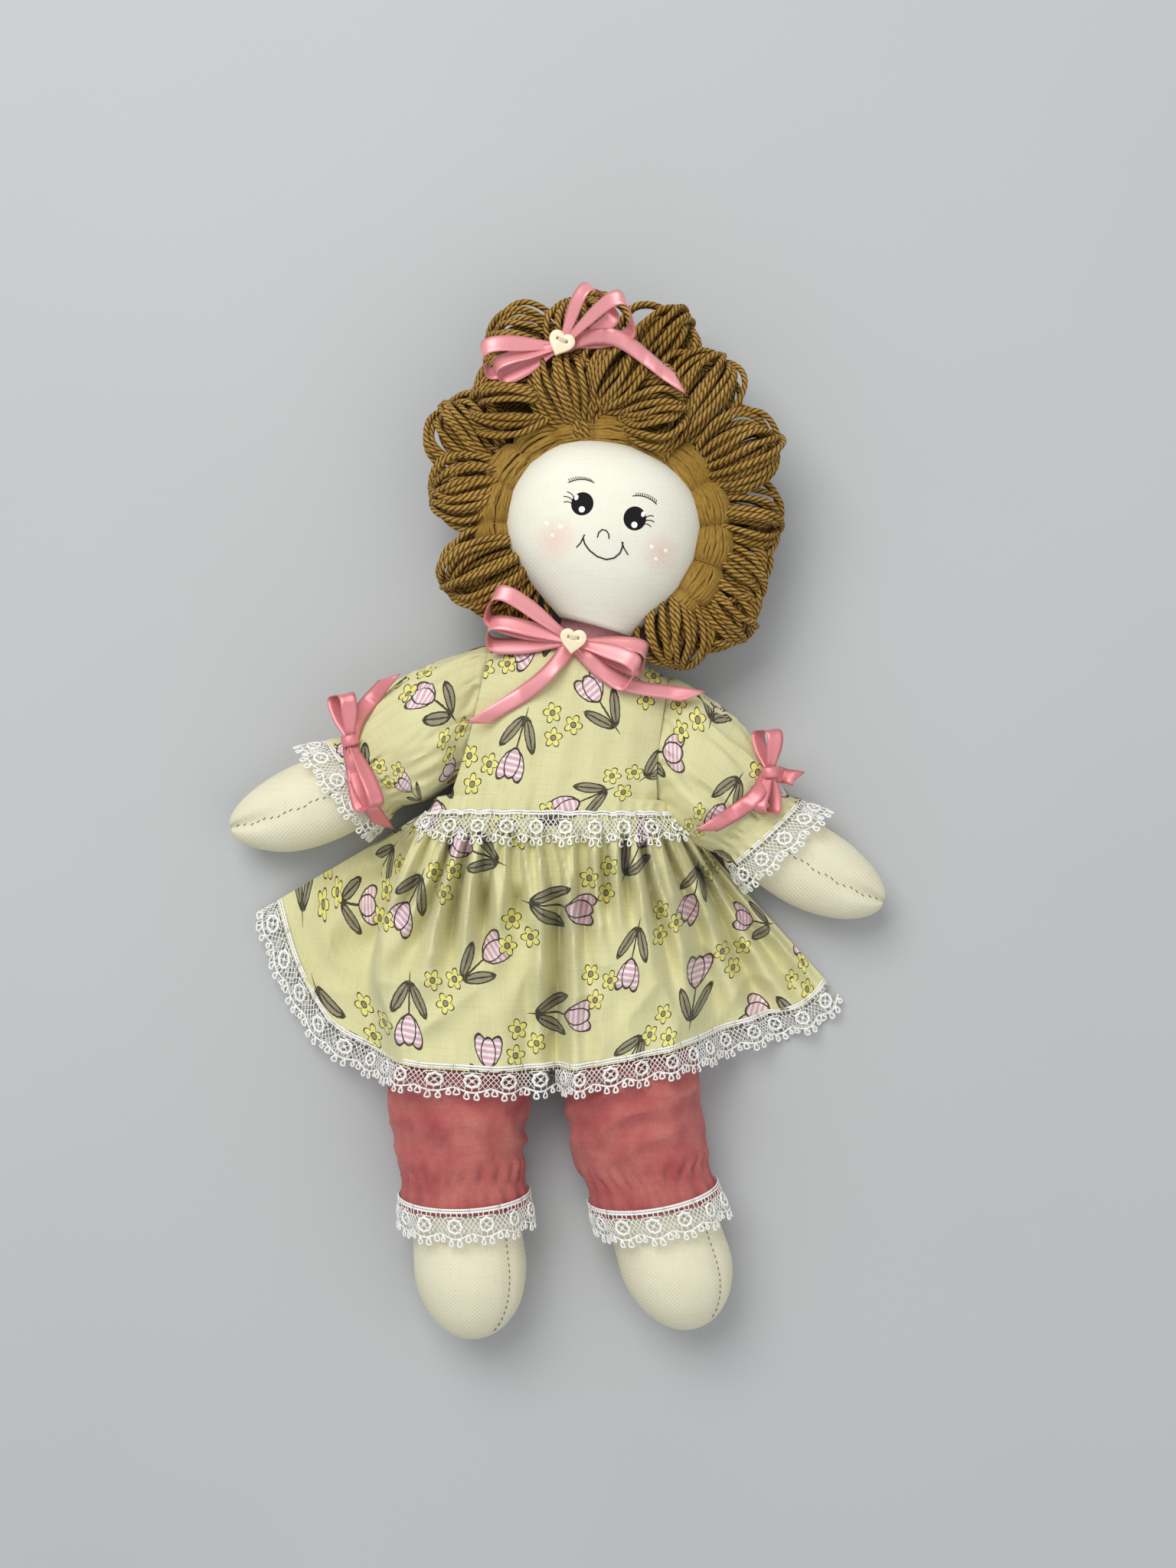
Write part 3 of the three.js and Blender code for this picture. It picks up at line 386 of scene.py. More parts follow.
class Finish:
    """A material while it is mixed. colour is what it has so far, and each coat goes over that."""

    def __init__(self, name):
        self.material = bpy.data.materials.new(name)
        self.material.use_nodes = True
        self.tree = self.material.node_tree
        self.tree.nodes.clear()
        self.colour = None

    def add(self, kind, *values, **settings):
        return node(self.tree, kind, *values, **settings)

    def on_object(self):
        return self.add("TexCoord").outputs["Object"]

    def on_cut(self):
        return self.add("UVMap", uv_map="cut").outputs["UV"]

    def times(self, a, b):
        return self.add("Math.MULTIPLY", a, b)

    def plus(self, a, b):
        return self.add("Math.ADD", a, b)

    def minus(self, a, b):
        return self.add("Math.SUBTRACT", a, b)

    def sine(self, value, scale):
        return self.add("Math.SINE", self.times(value, scale))

    def stretch(self, place, *scale):
        return self.add("VectorMath.MULTIPLY", place, scale)

    def parts(self, place):
        return self.add("SeparateXYZ", place).outputs

    def clouds(self, place, scale, detail):
        return self.add("TexNoise", named={"Vector": place, "Scale": scale, "Detail": detail})

    def blend(self, amount, first, second):
        return self.add("Mix", named={"Factor": amount, 6: first, 7: second}, data_type="RGBA").outputs[2]

    def ground(self, amount, base, dark):
        self.colour = self.blend(amount, shade(base), shade(dark))

    def coat(self, amount, colour):
        """Lays a colour, as an sRGB hex value or a socket, over the material by this amount."""
        self.colour = self.blend(amount, self.colour, shade(colour) if isinstance(colour, str) else colour)

    def weave(self, place, slub, threads=1100):
        """Relief of a plain weave: two crossed sets of so many threads a metre, and the thicker ones."""
        warp, weft, _ = self.parts(place)
        crossed = self.times(self.sine(warp, threads * pi), self.sine(weft, threads * pi))
        return self.plus(crossed, self.times(slub, 1.2))

    def streaks(self, place, amount):
        """Slightly thicker threads that show as short streaks along and across the cloth."""
        both = [self.add("MapRange", self.clouds(self.stretch(place, *scale), 1.0, 1.0), 0.5, 0.75, 0.0, 1.0)
                for scale in ((60.0, 1100.0, 60.0), (1100.0, 60.0, 1100.0))]
        return self.times(self.plus(*both), amount)

    def close(self, height, depth, distance=0.0004, **named):
        """Ends the mixing: a Principled shader with this colour, this relief and constants for the rest."""
        bump = self.add("Bump", named={"Strength": depth, "Distance": distance, "Height": height})
        inputs = {key.replace("_", " "): value for key, value in named.items()}
        shader = self.add("BsdfPrincipled", named={"Base Color": self.colour, "Normal": bump, **inputs})
        self.add("OutputMaterial", shader)
        return self.material


def woven_cotton(name, base, dark, threads=1100, mottle=0.35, mottle_scale=60.0, bump_depth=0.12,
                 roughness=0.88, speckle=0.12):
    """Plain-woven quilting cotton: matt, faintly uneven in colour, with a fine crossed thread relief.
    Real threads lie 0.35 mm apart; they are drawn at 0.9 mm so that they show."""
    cotton = Finish(name)
    place = cotton.on_object()
    slub = cotton.clouds(place, 900.0, 2.0)
    cotton.ground(cotton.times(cotton.clouds(place, mottle_scale, 4.0), mottle), base, dark)
    cotton.coat(cotton.times(slub, speckle), dark)
    cotton.coat(cotton.streaks(place, 0.15), dark)
    return cotton.close(cotton.weave(place, slub, threads), bump_depth, Roughness=roughness, Sheen_Weight=0.15,
                        Specular_IOR_Level=0.25)


calico = woven_cotton("unbleached_calico", "EAE5CB", "CBC29C", mottle=0.5, mottle_scale=45.0, bump_depth=0.25)
thread_dark = woven_cotton("brown_sewing_thread", "6B5A48", "3D3228", mottle=0.4, threads=2500)
thread_black = woven_cotton("black_embroidery_cotton", "1B1817", "0C0A0A", mottle=0.3, threads=2500, roughness=0.6)
rose_cotton = woven_cotton("marbled_rose_cotton", "DD9380", "9C4247", mottle=1.3, mottle_scale=75.0, speckle=0.55)
lace_cotton = woven_cotton("guipure_lace_cotton", "FAF9F4", "E6E3D8", mottle=0.25, mottle_scale=300.0,
                           threads=1800, bump_depth=0.3)
felt = woven_cotton("wool_felt", "C39294", "A56F75", mottle=0.9, mottle_scale=420.0, bump_depth=0.35, roughness=0.97)


def spun_yarn(name, base, dark, light, plies=3, pitch=2.7):
    """Worsted acrylic knitting yarn: matt plies twisted round each other, with painted shade darkening the grooves
    between them, and fine fibres along each ply. With no plies it is the loose roving of the roll."""
    yarn = Finish(name)
    tone = yarn.clouds(yarn.on_object(), 55.0, 3.0)
    along, round_it, _ = yarn.parts(yarn.on_cut())
    along = yarn.times(along, 10.0)
    yarn.ground(yarn.add("MapRange", tone, 0.3, 0.7, 0.0, 1.0), light, base)
    strand = yarn.minus(yarn.times(round_it, float(max(plies, 1))), yarn.add("Math.DIVIDE", along, pitch))
    lay = yarn.add("CombineXYZ", yarn.times(along, 0.35), yarn.times(strand, 5.0 if plies else 9.0), 0.0)
    fibre = yarn.clouds(lay, 1.0, 3.0)
    yarn.coat(yarn.add("MapRange", fibre, 0.42, 0.75, 0.0, 0.55), dark)
    height = yarn.times(fibre, 0.35)
    if plies:
        # Painted shade: the colour darkens towards the grooves between the plies, while the same profile raises each
        # ply in the relief
        across = yarn.sine(yarn.add("Math.FRACT", strand), pi)
        yarn.coat(yarn.add("MapRange", across, 0.1, 0.8, 0.9, 0.0), dark)
        height = yarn.plus(height, yarn.add("Math.POWER", across, 0.6))
    return yarn.close(height, 1.0, 0.0011, Roughness=0.95, Sheen_Weight=0.06, Sheen_Roughness=0.5,
                      Specular_IOR_Level=0.08)


yarn_brown = spun_yarn("golden_brown_yarn", "AE8538", "4E3204", "C79E54")
roving_brown = spun_yarn("golden_brown_roving", "977531", "5C3F10", "AB8945", plies=0, pitch=40.0)


def satin_ribbon(name, base, dark):
    """Polyester satin ribbon: long floats give a soft gloss along its length; its edge is a tight selvedge."""
    satin = Finish(name)
    cut = satin.on_cut()
    along, across, _ = satin.parts(cut)
    edge = satin.add("Math.ABSOLUTE", satin.minus(across, 0.5))
    selvedge = satin.add("MapRange", edge, 0.40, 0.44, 0.0, 1.0)
    floats = satin.clouds(satin.stretch(cut, 40.0, 90.0, 1.0), 1.0, 2.0)
    satin.ground(satin.times(floats, 0.35), base, dark)
    satin.coat(satin.times(selvedge, 0.35), dark)
    height = satin.plus(floats, satin.times(satin.sine(along, 6300.0), selvedge))
    return satin.close(height, 0.18, 0.0003, Roughness=0.34, Sheen_Weight=0.3, Sheen_Roughness=0.3, Anisotropic=0.6,
                       Specular_IOR_Level=0.6, Metallic=0.35)


pink_satin = satin_ribbon("salmon_pink_satin", "F2A3A5", "DB7F86")
coral_satin = satin_ribbon("coral_pink_satin", "E28C8F", "C2666E")


def moulded_button(name):
    """Moulded polyester button: cream, faintly clouded like horn, with a soft polish."""
    button = Finish(name)
    cloud = button.clouds(button.on_object(), 260.0, 3.0)
    button.ground(cloud, "F6E9CB", "E2CFA6")
    return button.close(cloud, 0.05, 0.0003, Roughness=0.32, Specular_IOR_Level=0.5, Coat_Weight=0.2,
                        Coat_Roughness=0.2)


button_cream = moulded_button("cream_polyester_button")


class Print(Finish):
    """A cloth with figures drawn on it in millimetres."""

    black = "2A2523"

    def ellipse(self, place, centre, size, turned=0.0):
        """Distance in millimetres outside an ellipse that is drawn turned about its centre."""
        off = self.add("VectorMath.SUBTRACT", place, (*centre, 0.0))
        off = self.add("VectorRotate", off, named={"Angle": -turned}, rotation_type="Z_AXIS")
        reach = self.add("VectorMath.DIVIDE", off, (*size, 1.0))
        return self.times(self.minus(self.add("VectorMath.LENGTH", reach).outputs["Value"], 1.0), min(size))

    def within(self, distance, limit=0.0):
        return self.add("Math.LESS_THAN", distance, limit)

    def figure(self, distance, colour=None, line=0.3):
        """Fills a shape, and draws a line of this half width along its edge."""
        if colour is not None:
            self.coat(self.within(distance), colour)
        self.coat(self.within(self.add("Math.ABSOLUTE", distance), line), self.black)


def printed_cotton(wide=37.0, tall=46.0):
    """Quilting cotton screen-printed on a straw-green ground: tulip sprigs in black line with striped pink
    heads and taupe leaves, between yellow blossoms in threes. Cells of 37 by 46 mm, half dropped."""
    printed = Print("tulip_print_cotton")
    cut = printed.on_cut()
    place = printed.stretch(cut, 1000.0, 1000.0, 0.0)
    wander = printed.clouds(place, 0.5, 1.0).outputs["Color"]
    wander = printed.stretch(printed.add("VectorMath.SUBTRACT", wander, (0.5, 0.5, 0.5)), 0.5, 0.5, 0.0)
    place = printed.add("VectorMath.ADD", place, wander)

    def cells(shift_x, shift_y):
        """Place within the cell of the print, turned by a chance angle that each cell has."""
        x, y, _ = printed.parts(printed.add("VectorMath.ADD", place, (shift_x, shift_y, 0.0)))
        column = printed.add("Math.FLOOR", printed.add("Math.DIVIDE", x, wide))
        y = printed.plus(y, printed.times(printed.add("Math.MODULO", column, 2.0), tall / 2))
        row = printed.add("Math.FLOOR", printed.add("Math.DIVIDE", y, tall))
        inside = [printed.minus(at, printed.times(printed.plus(number, 0.5), size))
                  for at, number, size in ((x, column, wide), (y, row, tall))]
        chance = printed.add("TexWhiteNoise", printed.add("CombineXYZ", column, row, 7.0), noise_dimensions="3D")
        turned = printed.times(chance.outputs["Value"], tau)
        return printed.add("VectorRotate", printed.add("CombineXYZ", *inside), named={"Angle": turned},
                           rotation_type="Z_AXIS")

    slub = printed.clouds(cut, 800.0, 2.0)
    printed.ground(printed.times(printed.clouds(cut, 45.0, 3.0), 0.6), "E0DCAA", "C4BC88")
    taupe = "8E8671"

    sprig = cells(0.0, 0.0)
    for side in (-1, 1):
        leaf = printed.ellipse(sprig, (side * 4.6, -5.0), (2.3, 7.4), -side * 0.5)
        printed.coat(printed.within(leaf), taupe)
        vein = printed.ellipse(sprig, (side * 4.6, -5.0), (0.25, 5.6), -side * 0.5)
        printed.coat(printed.within(vein, 0.15), printed.black)
        printed.figure(leaf)
    stem = printed.ellipse(sprig, (0.0, -4.5), (0.35, 9.5))
    printed.coat(printed.within(stem, 0.1), printed.black)
    stripes = printed.add("Math.GREATER_THAN", printed.sine(printed.parts(sprig)[1], 2.4), -0.15)
    striped = printed.blend(stripes, shade("F0E6E2"), shade("D9A9BC"))
    for centre, size, turned in (((-3.0, 9.0), (3.1, 6.6), 0.34), ((3.0, 9.0), (3.1, 6.6), -0.34),
                                 ((0.0, 8.0), (3.5, 6.4), 0.0)):
        printed.figure(printed.ellipse(sprig, centre, size, turned), striped)

    trio = cells(wide / 2, tall / 4)
    for x, y, phase in ((0.0, 6.0, 0.3), (-5.8, -3.2, 1.1), (5.2, -4.4, 2.0)):
        off = printed.add("VectorMath.SUBTRACT", trio, (x, y, 0.0))
        reach = printed.add("VectorMath.LENGTH", off).outputs["Value"]
        across, up, _ = printed.parts(off)
        angle = printed.add("Math.ARCTAN2", up, across)
        wave = printed.add("Math.COSINE", printed.add("Math.MULTIPLY_ADD", angle, 2.5, phase))
        edge = printed.add("Math.MULTIPLY_ADD", printed.add("Math.ABSOLUTE", wave), 2.3, 2.2)
        printed.figure(printed.minus(reach, edge), "E9E17E")
        printed.figure(printed.minus(reach, 1.3), taupe, 0.22)

    printed.coat(printed.times(slub, 0.14), "A7A276")
    printed.coat(printed.streaks(cut, 0.17), "ADA674")
    return printed.close(printed.weave(cut, slub), 0.12, Roughness=0.88, Sheen_Weight=0.12, Specular_IOR_Level=0.25)


# The painted face, on the pattern: place, radius and squeeze of each spot, and its colour
CHEEKS = ((2.6, 119.3, 9.5), (45.6, 114.2, 8.5))
EYES = ((13.3, 133.4, 4.8, 0.94), (34.6, 127.5, 4.9, 0.94))
EYE_LIGHTS = ((10.9, 136.1, 1.15, 0.7), (13.1, 131.1, 1.25, 1), (38.0, 129.3, 1.15, 0.7), (34.4, 124.9, 1.25, 1))
FRECKLES = ((-1.2, 126.1, 0.75, 1), (4.4, 124.4, 0.8, 1), (1.1, 121.2, 0.7, 1), (41.5, 116.5, 0.8, 1),
            (47.4, 115.3, 0.8, 1), (43.3, 111.8, 0.8, 1))


def painted_face():
    """The calico of the head with fabric paint on it: black eyes with white lights, and rouged cheeks with
    white freckles."""
    face = Print("calico_with_painted_face")
    place = face.on_object()
    flat = face.stretch(place, 1000.0, 1000.0, 0.0)
    slub = face.clouds(place, 900.0, 2.0)
    face.ground(face.times(face.clouds(place, 45.0, 4.0), 0.3), "EEECDC", "D3CDB4")
    face.coat(face.times(slub, 0.1), "CFC9AE")
    face.coat(face.streaks(place, 0.12), "CFC9AE")
    front = face.add("Math.GREATER_THAN", face.parts(place)[2], MID * MM)

    def spot(x, y, radius, squeeze=1.0):
        return face.ellipse(flat, (x - REST[0], y - REST[1]), (radius * squeeze, radius), -0.28)

    for x, y, radius in CHEEKS:
        fade = face.add("MapRange", spot(x, y, radius), -radius, 0.8, 0.42, 0.0)
        face.coat(face.times(fade, front), "E9A596")
    for spots, code in ((EYES, "0D0C0D"), (EYE_LIGHTS, "F7F7F2"), (FRECKLES, "FBFBF8")):
        for place_and_size in spots:
            face.coat(face.times(face.within(spot(*place_and_size)), front), code)
    return face.close(face.weave(place, slub), 0.1, Roughness=0.85, Sheen_Weight=0.15, Specular_IOR_Level=0.25)


def studio_paper():
    """Matt pale grey paper sweep."""
    paper = Finish("pale_grey_paper")
    place = paper.on_object()
    grain = paper.clouds(place, 700.0, 2.0)
    paper.ground(paper.clouds(place, 3.0, 3.0), "BDBFBE", "B4B4B4")
    return paper.close(grain, 0.06, Roughness=0.9, Specular_IOR_Level=0.2)


print_cotton = printed_cotton()
face_calico = painted_face()

# Camera: straight above the doll, which lies to the lower right of the middle of the frame
CAMERA_AT, FOCUS_HIGH, CAMERA_OFF, VIEW_TALL = (0.0104, -0.0137), 0.028, 0.90, 0.6656
camera_data = bpy.data.cameras.new("camera")
camera_data.sensor_fit = "VERTICAL"
camera_data.sensor_height = 36.0
camera_data.lens = 36.0 * CAMERA_OFF / VIEW_TALL
camera = add_to_scene("camera", camera_data)
camera.location = (*CAMERA_AT, CAMERA_OFF + FOCUS_HIGH)
camera.rotation_euler = (0, 0, 0)
bpy.context.scene.camera = camera

# Floor and light: one broad soft lamp above the head end, a weaker one from the feet, and a pale room
pick(None)
bpy.ops.mesh.primitive_plane_add(size=6.0, location=(0, 0, -0.0004))
floor = bpy.context.active_object
floor.name = "floor"
floor.data.materials.append(studio_paper())
for name, place, size, power in (
    ("key_lamp", (-0.5, 0.88, 1.42), 1.1, 21.0),
    ("fill_lamp", (0.9, -0.5, 1.5), 1.6, 5.5),
):
    lamp_data = bpy.data.lights.new(name, "AREA")
    lamp_data.size = size
    lamp_data.energy = power
    lamp = add_to_scene(name, lamp_data)
    lamp.location = place
    lamp.rotation_euler = Vector(place).to_track_quat("Z", "Y").to_euler()
world = bpy.data.worlds.new("pale_room")
world.use_nodes = True
world.node_tree.nodes["Background"].inputs[0].default_value = (0.93, 0.96, 1.0, 1.0)
world.node_tree.nodes["Background"].inputs[1].default_value = 0.55
bpy.context.scene.world = world
bpy.context.scene.view_settings.view_transform = "Standard"

# The head: egg-shaped, narrowing to the neck, its chin drawn to one side by the lean
HEAD_TURN = radians(-16)
NECK_FOOT, NECK_MID = 84, 28  # how far up the trunk the neck starts, and its height over the floor
NECK = on_trunk(3.7, NECK_FOOT)
HEAD = Vector((NECK.x + 3.3, NECK.y + 40, 0))
HEAD_WIDE, HEAD_TALL, HEAD_DEEP, HEAD_MID, CHIN_SHIFT = 41.0, 37.0, 31.0, 39.0, 7
ROLL = 6.4
HEAD_WIDTHS = [(-0.09, 0.35), (-0.04, 0.38), (0, 0.45), (0.13, 0.7), (0.26, 0.88), (0.4, 0.98), (0.52, 1),
               (0.66, 0.97), (0.78, 0.87), (0.88, 0.7), (0.95, 0.46), (1, 0.1)]
HEAD_DEPTHS = [(-0.09, 0.4), (-0.04, 0.43), (0, 0.5), (0.13, 0.72), (0.26, 0.88), (0.4, 0.97), (0.52, 1),
               (0.66, 0.98), (0.78, 0.9), (0.88, 0.74), (0.95, 0.5), (1, 0.12)]


def on_head(x, y, z):
    return HEAD + Matrix.Rotation(HEAD_TURN, 3, "Z") @ Vector((x, y, z))


def head_ring(t):
    """A ring of the head's skin from the neck (0) to the crown (1)."""
    shift = CHIN_SHIFT * max(1 - t / 0.4, 0) ** 2
    y = -HEAD_TALL + 2 * HEAD_TALL * t
    wide = HEAD_WIDE * follow(HEAD_WIDTHS, t)
    deep = HEAD_DEEP * follow(HEAD_DEPTHS, t)
    ring = []
    for angle in around(72):
        dent = 0.35 * wobble(wide * cos(angle), y, deep * sin(angle), 16)
        ring.append(on_head(shift + (wide + dent) * cos(angle), y, HEAD_MID + (deep + dent) * sin(angle)))
    return ring


head = stuffed("head_skin", [head_ring(mix(-0.035, 0.996, i / 48)) for i in range(49)], face_calico)
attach(head, "head")
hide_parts("head")
over_head = surface_below(head)


def stroke(threads, points, radius=0.28):
    """A line of stem stitch that lies on the head through these points of the pattern."""
    path = []
    for (x0, y0), (x1, y1) in zip(points, points[1:]):
        count = max(2, int(hypot(x1 - x0, y1 - y0) / 0.6))
        path += [(mix(x0, x1, k / count), mix(y0, y1, k / count)) for k in range(count)]
    threads.lay([Vector((x, y, over_head(x, y) + 0.1)) for x, y in path + [points[-1]]], radius, 5)


def arc(x0, y0, x1, y1, bow, count):
    """Points of a shallow curve from one place to another, bowed to its left."""
    dx, dy = x1 - x0, y1 - y0
    return [(x0 + dx * t - dy * bow * 4 * t * (1 - t), y0 + dy * t + dx * bow * 4 * t * (1 - t))
            for t in (k / count for k in range(count + 1))]


features = Threads()
SMILE = [(13.6, 119.6), (14.3, 117.2), (16.2, 114.6), (19.3, 112.2), (23.0, 111.0), (26.2, 111.6), (28.6, 113.6),
         (29.6, 116.2), (29.7, 118.0)]
NOSE = [(19.4, 119.7), (19.9, 121.6), (21.4, 122.9), (23.1, 122.4), (24.0, 121.0), (24.1, 119.2)]
DIMPLES = ([(10.9, 115.9), (12.6, 117.6), (14.2, 120.9)], [(29.3, 118.0), (30.2, 115.6), (31.9, 112.9)])
BROWS = (((7.4, 142.3), (18.2, 141.9), -1.2), ((33.6, 136.6), (43.5, 133.6), 1.2))
stroke(features, SMILE, 0.33)
for line in (*DIMPLES, NOSE):
    stroke(features, line)
for (x, y, _, _), side in zip(EYES, (-1, 1)):
    for k, reach in enumerate((3.4, 3.8, 3.2)):
        angle = radians((176 if side < 0 else 4) - 16 + side * (k - 1) * -17)
        x0, y0 = x + 4.3 * cos(angle), y + 4.3 * sin(angle)
        x1, y1 = x0 + reach * cos(angle), y0 + reach * sin(angle) + 0.5
        stroke(features, arc(x0, y0, x1, y1, side * 0.14, 4), 0.2)
for inner, outer, lean in BROWS:
    brow = arc(*inner, *outer, 0.13, 12)
    stroke(features, brow, 0.2)
    for x, y in brow[1:-1]:
        stroke(features, [(x + 0.4, y - 0.2), (x + lean * 0.6, y + 1.25)], 0.16)
features = features.piece("face_embroidery", thread_black)
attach(features, "head")

# Hair: a tied roll round the face, yarn sewn over the back of the head, and bunches of loops all round
dice = random.Random(11)
TWIST = 7.0  # a strand starts anywhere in this length of its twist
roll_threads, roll_ties = Threads(), Threads()


def roll_centre(angle):
    full = ROLL + 0.6
    x, y = (HEAD_WIDE + full) * cos(angle), (HEAD_TALL + full) * sin(angle)
    return on_head(x, y, HEAD_MID + ROLL / 2)


ROLL_FROM, ROLL_TO = radians(-34), radians(206)
ROLL_STEPS, TIES = 150, 11
ROLL_WIDE, ROLL_HIGH, ROLL_LEANS = 8.4, 6.0, 2.0
STRAND, TIE = 0.9, 0.35  # half thickness of a strand of roving and of the thread that ties the roll
roll_path = [roll_centre(mix(ROLL_FROM, ROLL_TO, i / ROLL_STEPS)) for i in range(ROLL_STEPS + 1)]
roll_frames = frames_along(roll_path)


def roll_reach(t, share):
    """Reach of a strand from the middle of the roll: flat over the head, drawn in by each tie."""
    near = abs(((t * TIES + 0.08 * sin(9 * t)) % 1.0) - 0.5)
    pinch = 1.04 - 0.34 * bell(near / 0.09) - 0.16 * bell(near / 0.3)
    edge = min(t, 1 - t) / 0.05
    end = sqrt(clamp(1 - (1 - edge) ** 2)) if edge < 1 else 1
    wide, high = ROLL_WIDE * max(end, 0.1), ROLL_HIGH * max(end, 0.1)
    return wide * share * mix(pinch, 1, 0.35), high * share * pinch


def roll_point(i, angle, wide, high):
    """A point of the roll's section at step i, which leans in over the face."""
    p, (side, up) = roll_path[i], roll_frames[i]
    inward = Vector((HEAD.x - p.x, HEAD.y - p.y, 0)).normalized() * ROLL_LEANS
    return p + inward + side * (cos(angle) * wide) + up * (sin(angle) * high)


for share, count in ((1.0, 46), (0.84, 34)):
    for base in around(count):
        phase = dice.uniform(0, 9)
        path = []
        for i in range(ROLL_STEPS + 1):
            t = i / ROLL_STEPS
            angle = base + 0.28 * wobble(6 * t, phase, 0, 1.0) + 0.1 * wobble(34 * t, phase, 3, 1.0)
            wide, high = roll_reach(t, share * (1 + 0.03 * wobble(40 * t, base * 3, phase, 1.0)))
            path.append(roll_point(i, angle, wide, high))
        roll_threads.lay(path, STRAND, 5, start_at=dice.random() * TWIST)
for k in range(TIES):
    t = (k + 0.5) / TIES
    wide, high = roll_reach(t, 1.0)
    roll_ties.lay([roll_point(round(t * ROLL_STEPS), angle, wide + 0.5, high + 0.5) for angle in around(24)],
                  TIE, 5, closed=True)
hair_roll = roll_threads.piece("hair_roll_strands", roving_brown)
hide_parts("hair_roll")
ties = roll_ties.piece("hair_roll_ties", roving_brown)

# Every bunch: place of its middle, direction in degrees and length, all on the pattern
BUNCHES = [[(-10, 203, 27, 166, 34)], [(14, 209, 30, 96, 33)], [(45, 205, 30, 48, 35)], [(-14, 178, 40, 179, 37)],
           [(8, 184, 44, 104, 33)], [(27, 189, 46, 52, 30), (43, 175, 45, 8, 27)], [(61, 180, 40, 55, 42)],
           [(78, 158, 38, 24, 37)], [(79, 131, 35, -10, 34)], [(75, 110, 31, -36, 32)], [(-34, 166, 34, 128, 33)],
           [(-33, 142, 37, 194, 33)], [(-25, 110, 38, 203, 40), (-16, 98, 28, 236, 26)],
           [(51, 87, 36, -84, 36)], [(70, 95, 30, -52, 34)]]


# Outer and inner loops of a bunch: how many, how far fanned, how tall and how long against the bunch
BUNCH_LAYERS = ((14, 1.0, 14.0, 1.0), (8, 0.8, 8.5, 0.86))
LOOSE_YARNS = 0.18  # share of the loops that stray from their fan


def yarn_loop(threads, base, yaw, pitch, length, height, roll, steps=38):
    """One loop of yarn from its tie: out over the top, round its far end and back below."""
    out = Vector((cos(yaw) * cos(pitch), sin(yaw) * cos(pitch), sin(pitch)))
    side = Vector((-sin(yaw), cos(yaw), 0))
    above = side.cross(out) * -1
    above = above * cos(roll) + side * sin(roll)
    seed = dice.uniform(0, 50)
    path = []
    for t in around(steps) + [tau]:
        p = base + out * (length * (1 - cos(t)) / 2)
        p += above * (height * sin(t) * (1 - 0.25 * cos(t)))
        p += side * (1.2 * wobble(t * 1.3, seed, 0, 1.0)) + above * (0.8 * wobble(t * 1.3, seed, 7, 1.0))
        p.z = max(p.z, YARN / 2 + 0.3)
        path.append(p)
    threads.lay(path, YARN / 2, 8, start_at=dice.random() * TWIST)


hair_pieces = []
for number, fans in enumerate(BUNCHES, 1):
    bunch = Threads()
    for x, y, z, degrees, length in fans:
        yaw = radians(degrees)
        away = towards(yaw)
        side = left_of(away)
        base = Vector((x, y, z - 1)) - away * (length * 0.5)
        lean = dice.uniform(-0.1, 0.14)
        for count, spread, tall, reach in BUNCH_LAYERS:
            for k in range(count):
                s = ((k + 0.5) / count * 2 - 1) * spread + dice.uniform(-0.05, 0.05)
                stray = 5 if dice.random() < LOOSE_YARNS else 1
                yarn_loop(bunch, base + side * (3.0 * s) + Vector((0, 0, dice.uniform(-1, 1))),
                          yaw + 0.09 * s + dice.uniform(-0.05, 0.05) * stray, lean + dice.uniform(-0.06, 0.06),
                          length * reach * (1 - 0.05 * s * s) * dice.uniform(0.92, 1.06),
                          tall * dice.uniform(0.86, 1.1), 1.4 * s + dice.uniform(-0.1, 0.1) * stray)
        for k in range(6):
            s = (k - 2.5) / 2.5
            yarn_loop(bunch, base + away * 5 + side * (5 * s), yaw + pi + 0.5 * s + dice.uniform(-0.25, 0.25),
                      dice.uniform(0, 0.3), length * dice.uniform(0.26, 0.36), 5.5, 0.9 * s, 20)
    piece = bunch.piece(f"hair_bunch_{number:02d}_loops", yarn_brown)
    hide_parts(f"hair_bunch_{number:02d}")
    hair_pieces.append(piece)


CAP_OUT = 8  # how far the yarn-covered cap stands out round the head
UNDER_LEVELS = (5.0, 14.0, 23.0)  # heights of the rows of loops under the bunches


def cap_ring(t):
    """A ring of the yarn-covered cap from the floor (0) to its edge under the roll (1)."""
    share = follow([(0, 0.8), (0.15, 0.93), (0.4, 1), (0.8, 1), (1, 0.93)], t)
    ring = []
    for angle in around(60):
        x, y = (HEAD_WIDE + CAP_OUT) * cos(angle) * share, (HEAD_TALL + CAP_OUT) * sin(angle) * share
        ring.append(on_head(x, y * (0.72 if y < 0 else 1), 0.2 + t * (HEAD_MID - 4)))
    return ring


cap = stuffed("hair_cap_shell", [cap_ring(i / 14) for i in range(15)], yarn_brown)
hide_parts("hair_cap")
under = Threads()
for k in range(64):
    yaw = radians(mix(-62, 222, (k + 0.5) / 64)) + dice.uniform(-0.03, 0.03)
    top = bell((yaw - radians(91)) / 0.55)
    away = towards(yaw)
    for level in UNDER_LEVELS:
        base = HEAD + away * (43 + dice.uniform(-2, 2)) + Vector((0, 0, level + dice.uniform(-2, 2)))
        yarn_loop(under, base, yaw + dice.uniform(-0.25, 0.25), dice.uniform(-0.1, 0.1),
                  mix(16, 38, top) * dice.uniform(0.85, 1.1), 4.5, dice.uniform(-1.4, 1.4), 24)
under = under.piece("hair_under_loops", yarn_brown)
for piece in [hair_roll, ties, cap, under] + hair_pieces:
    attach(piece, "head")

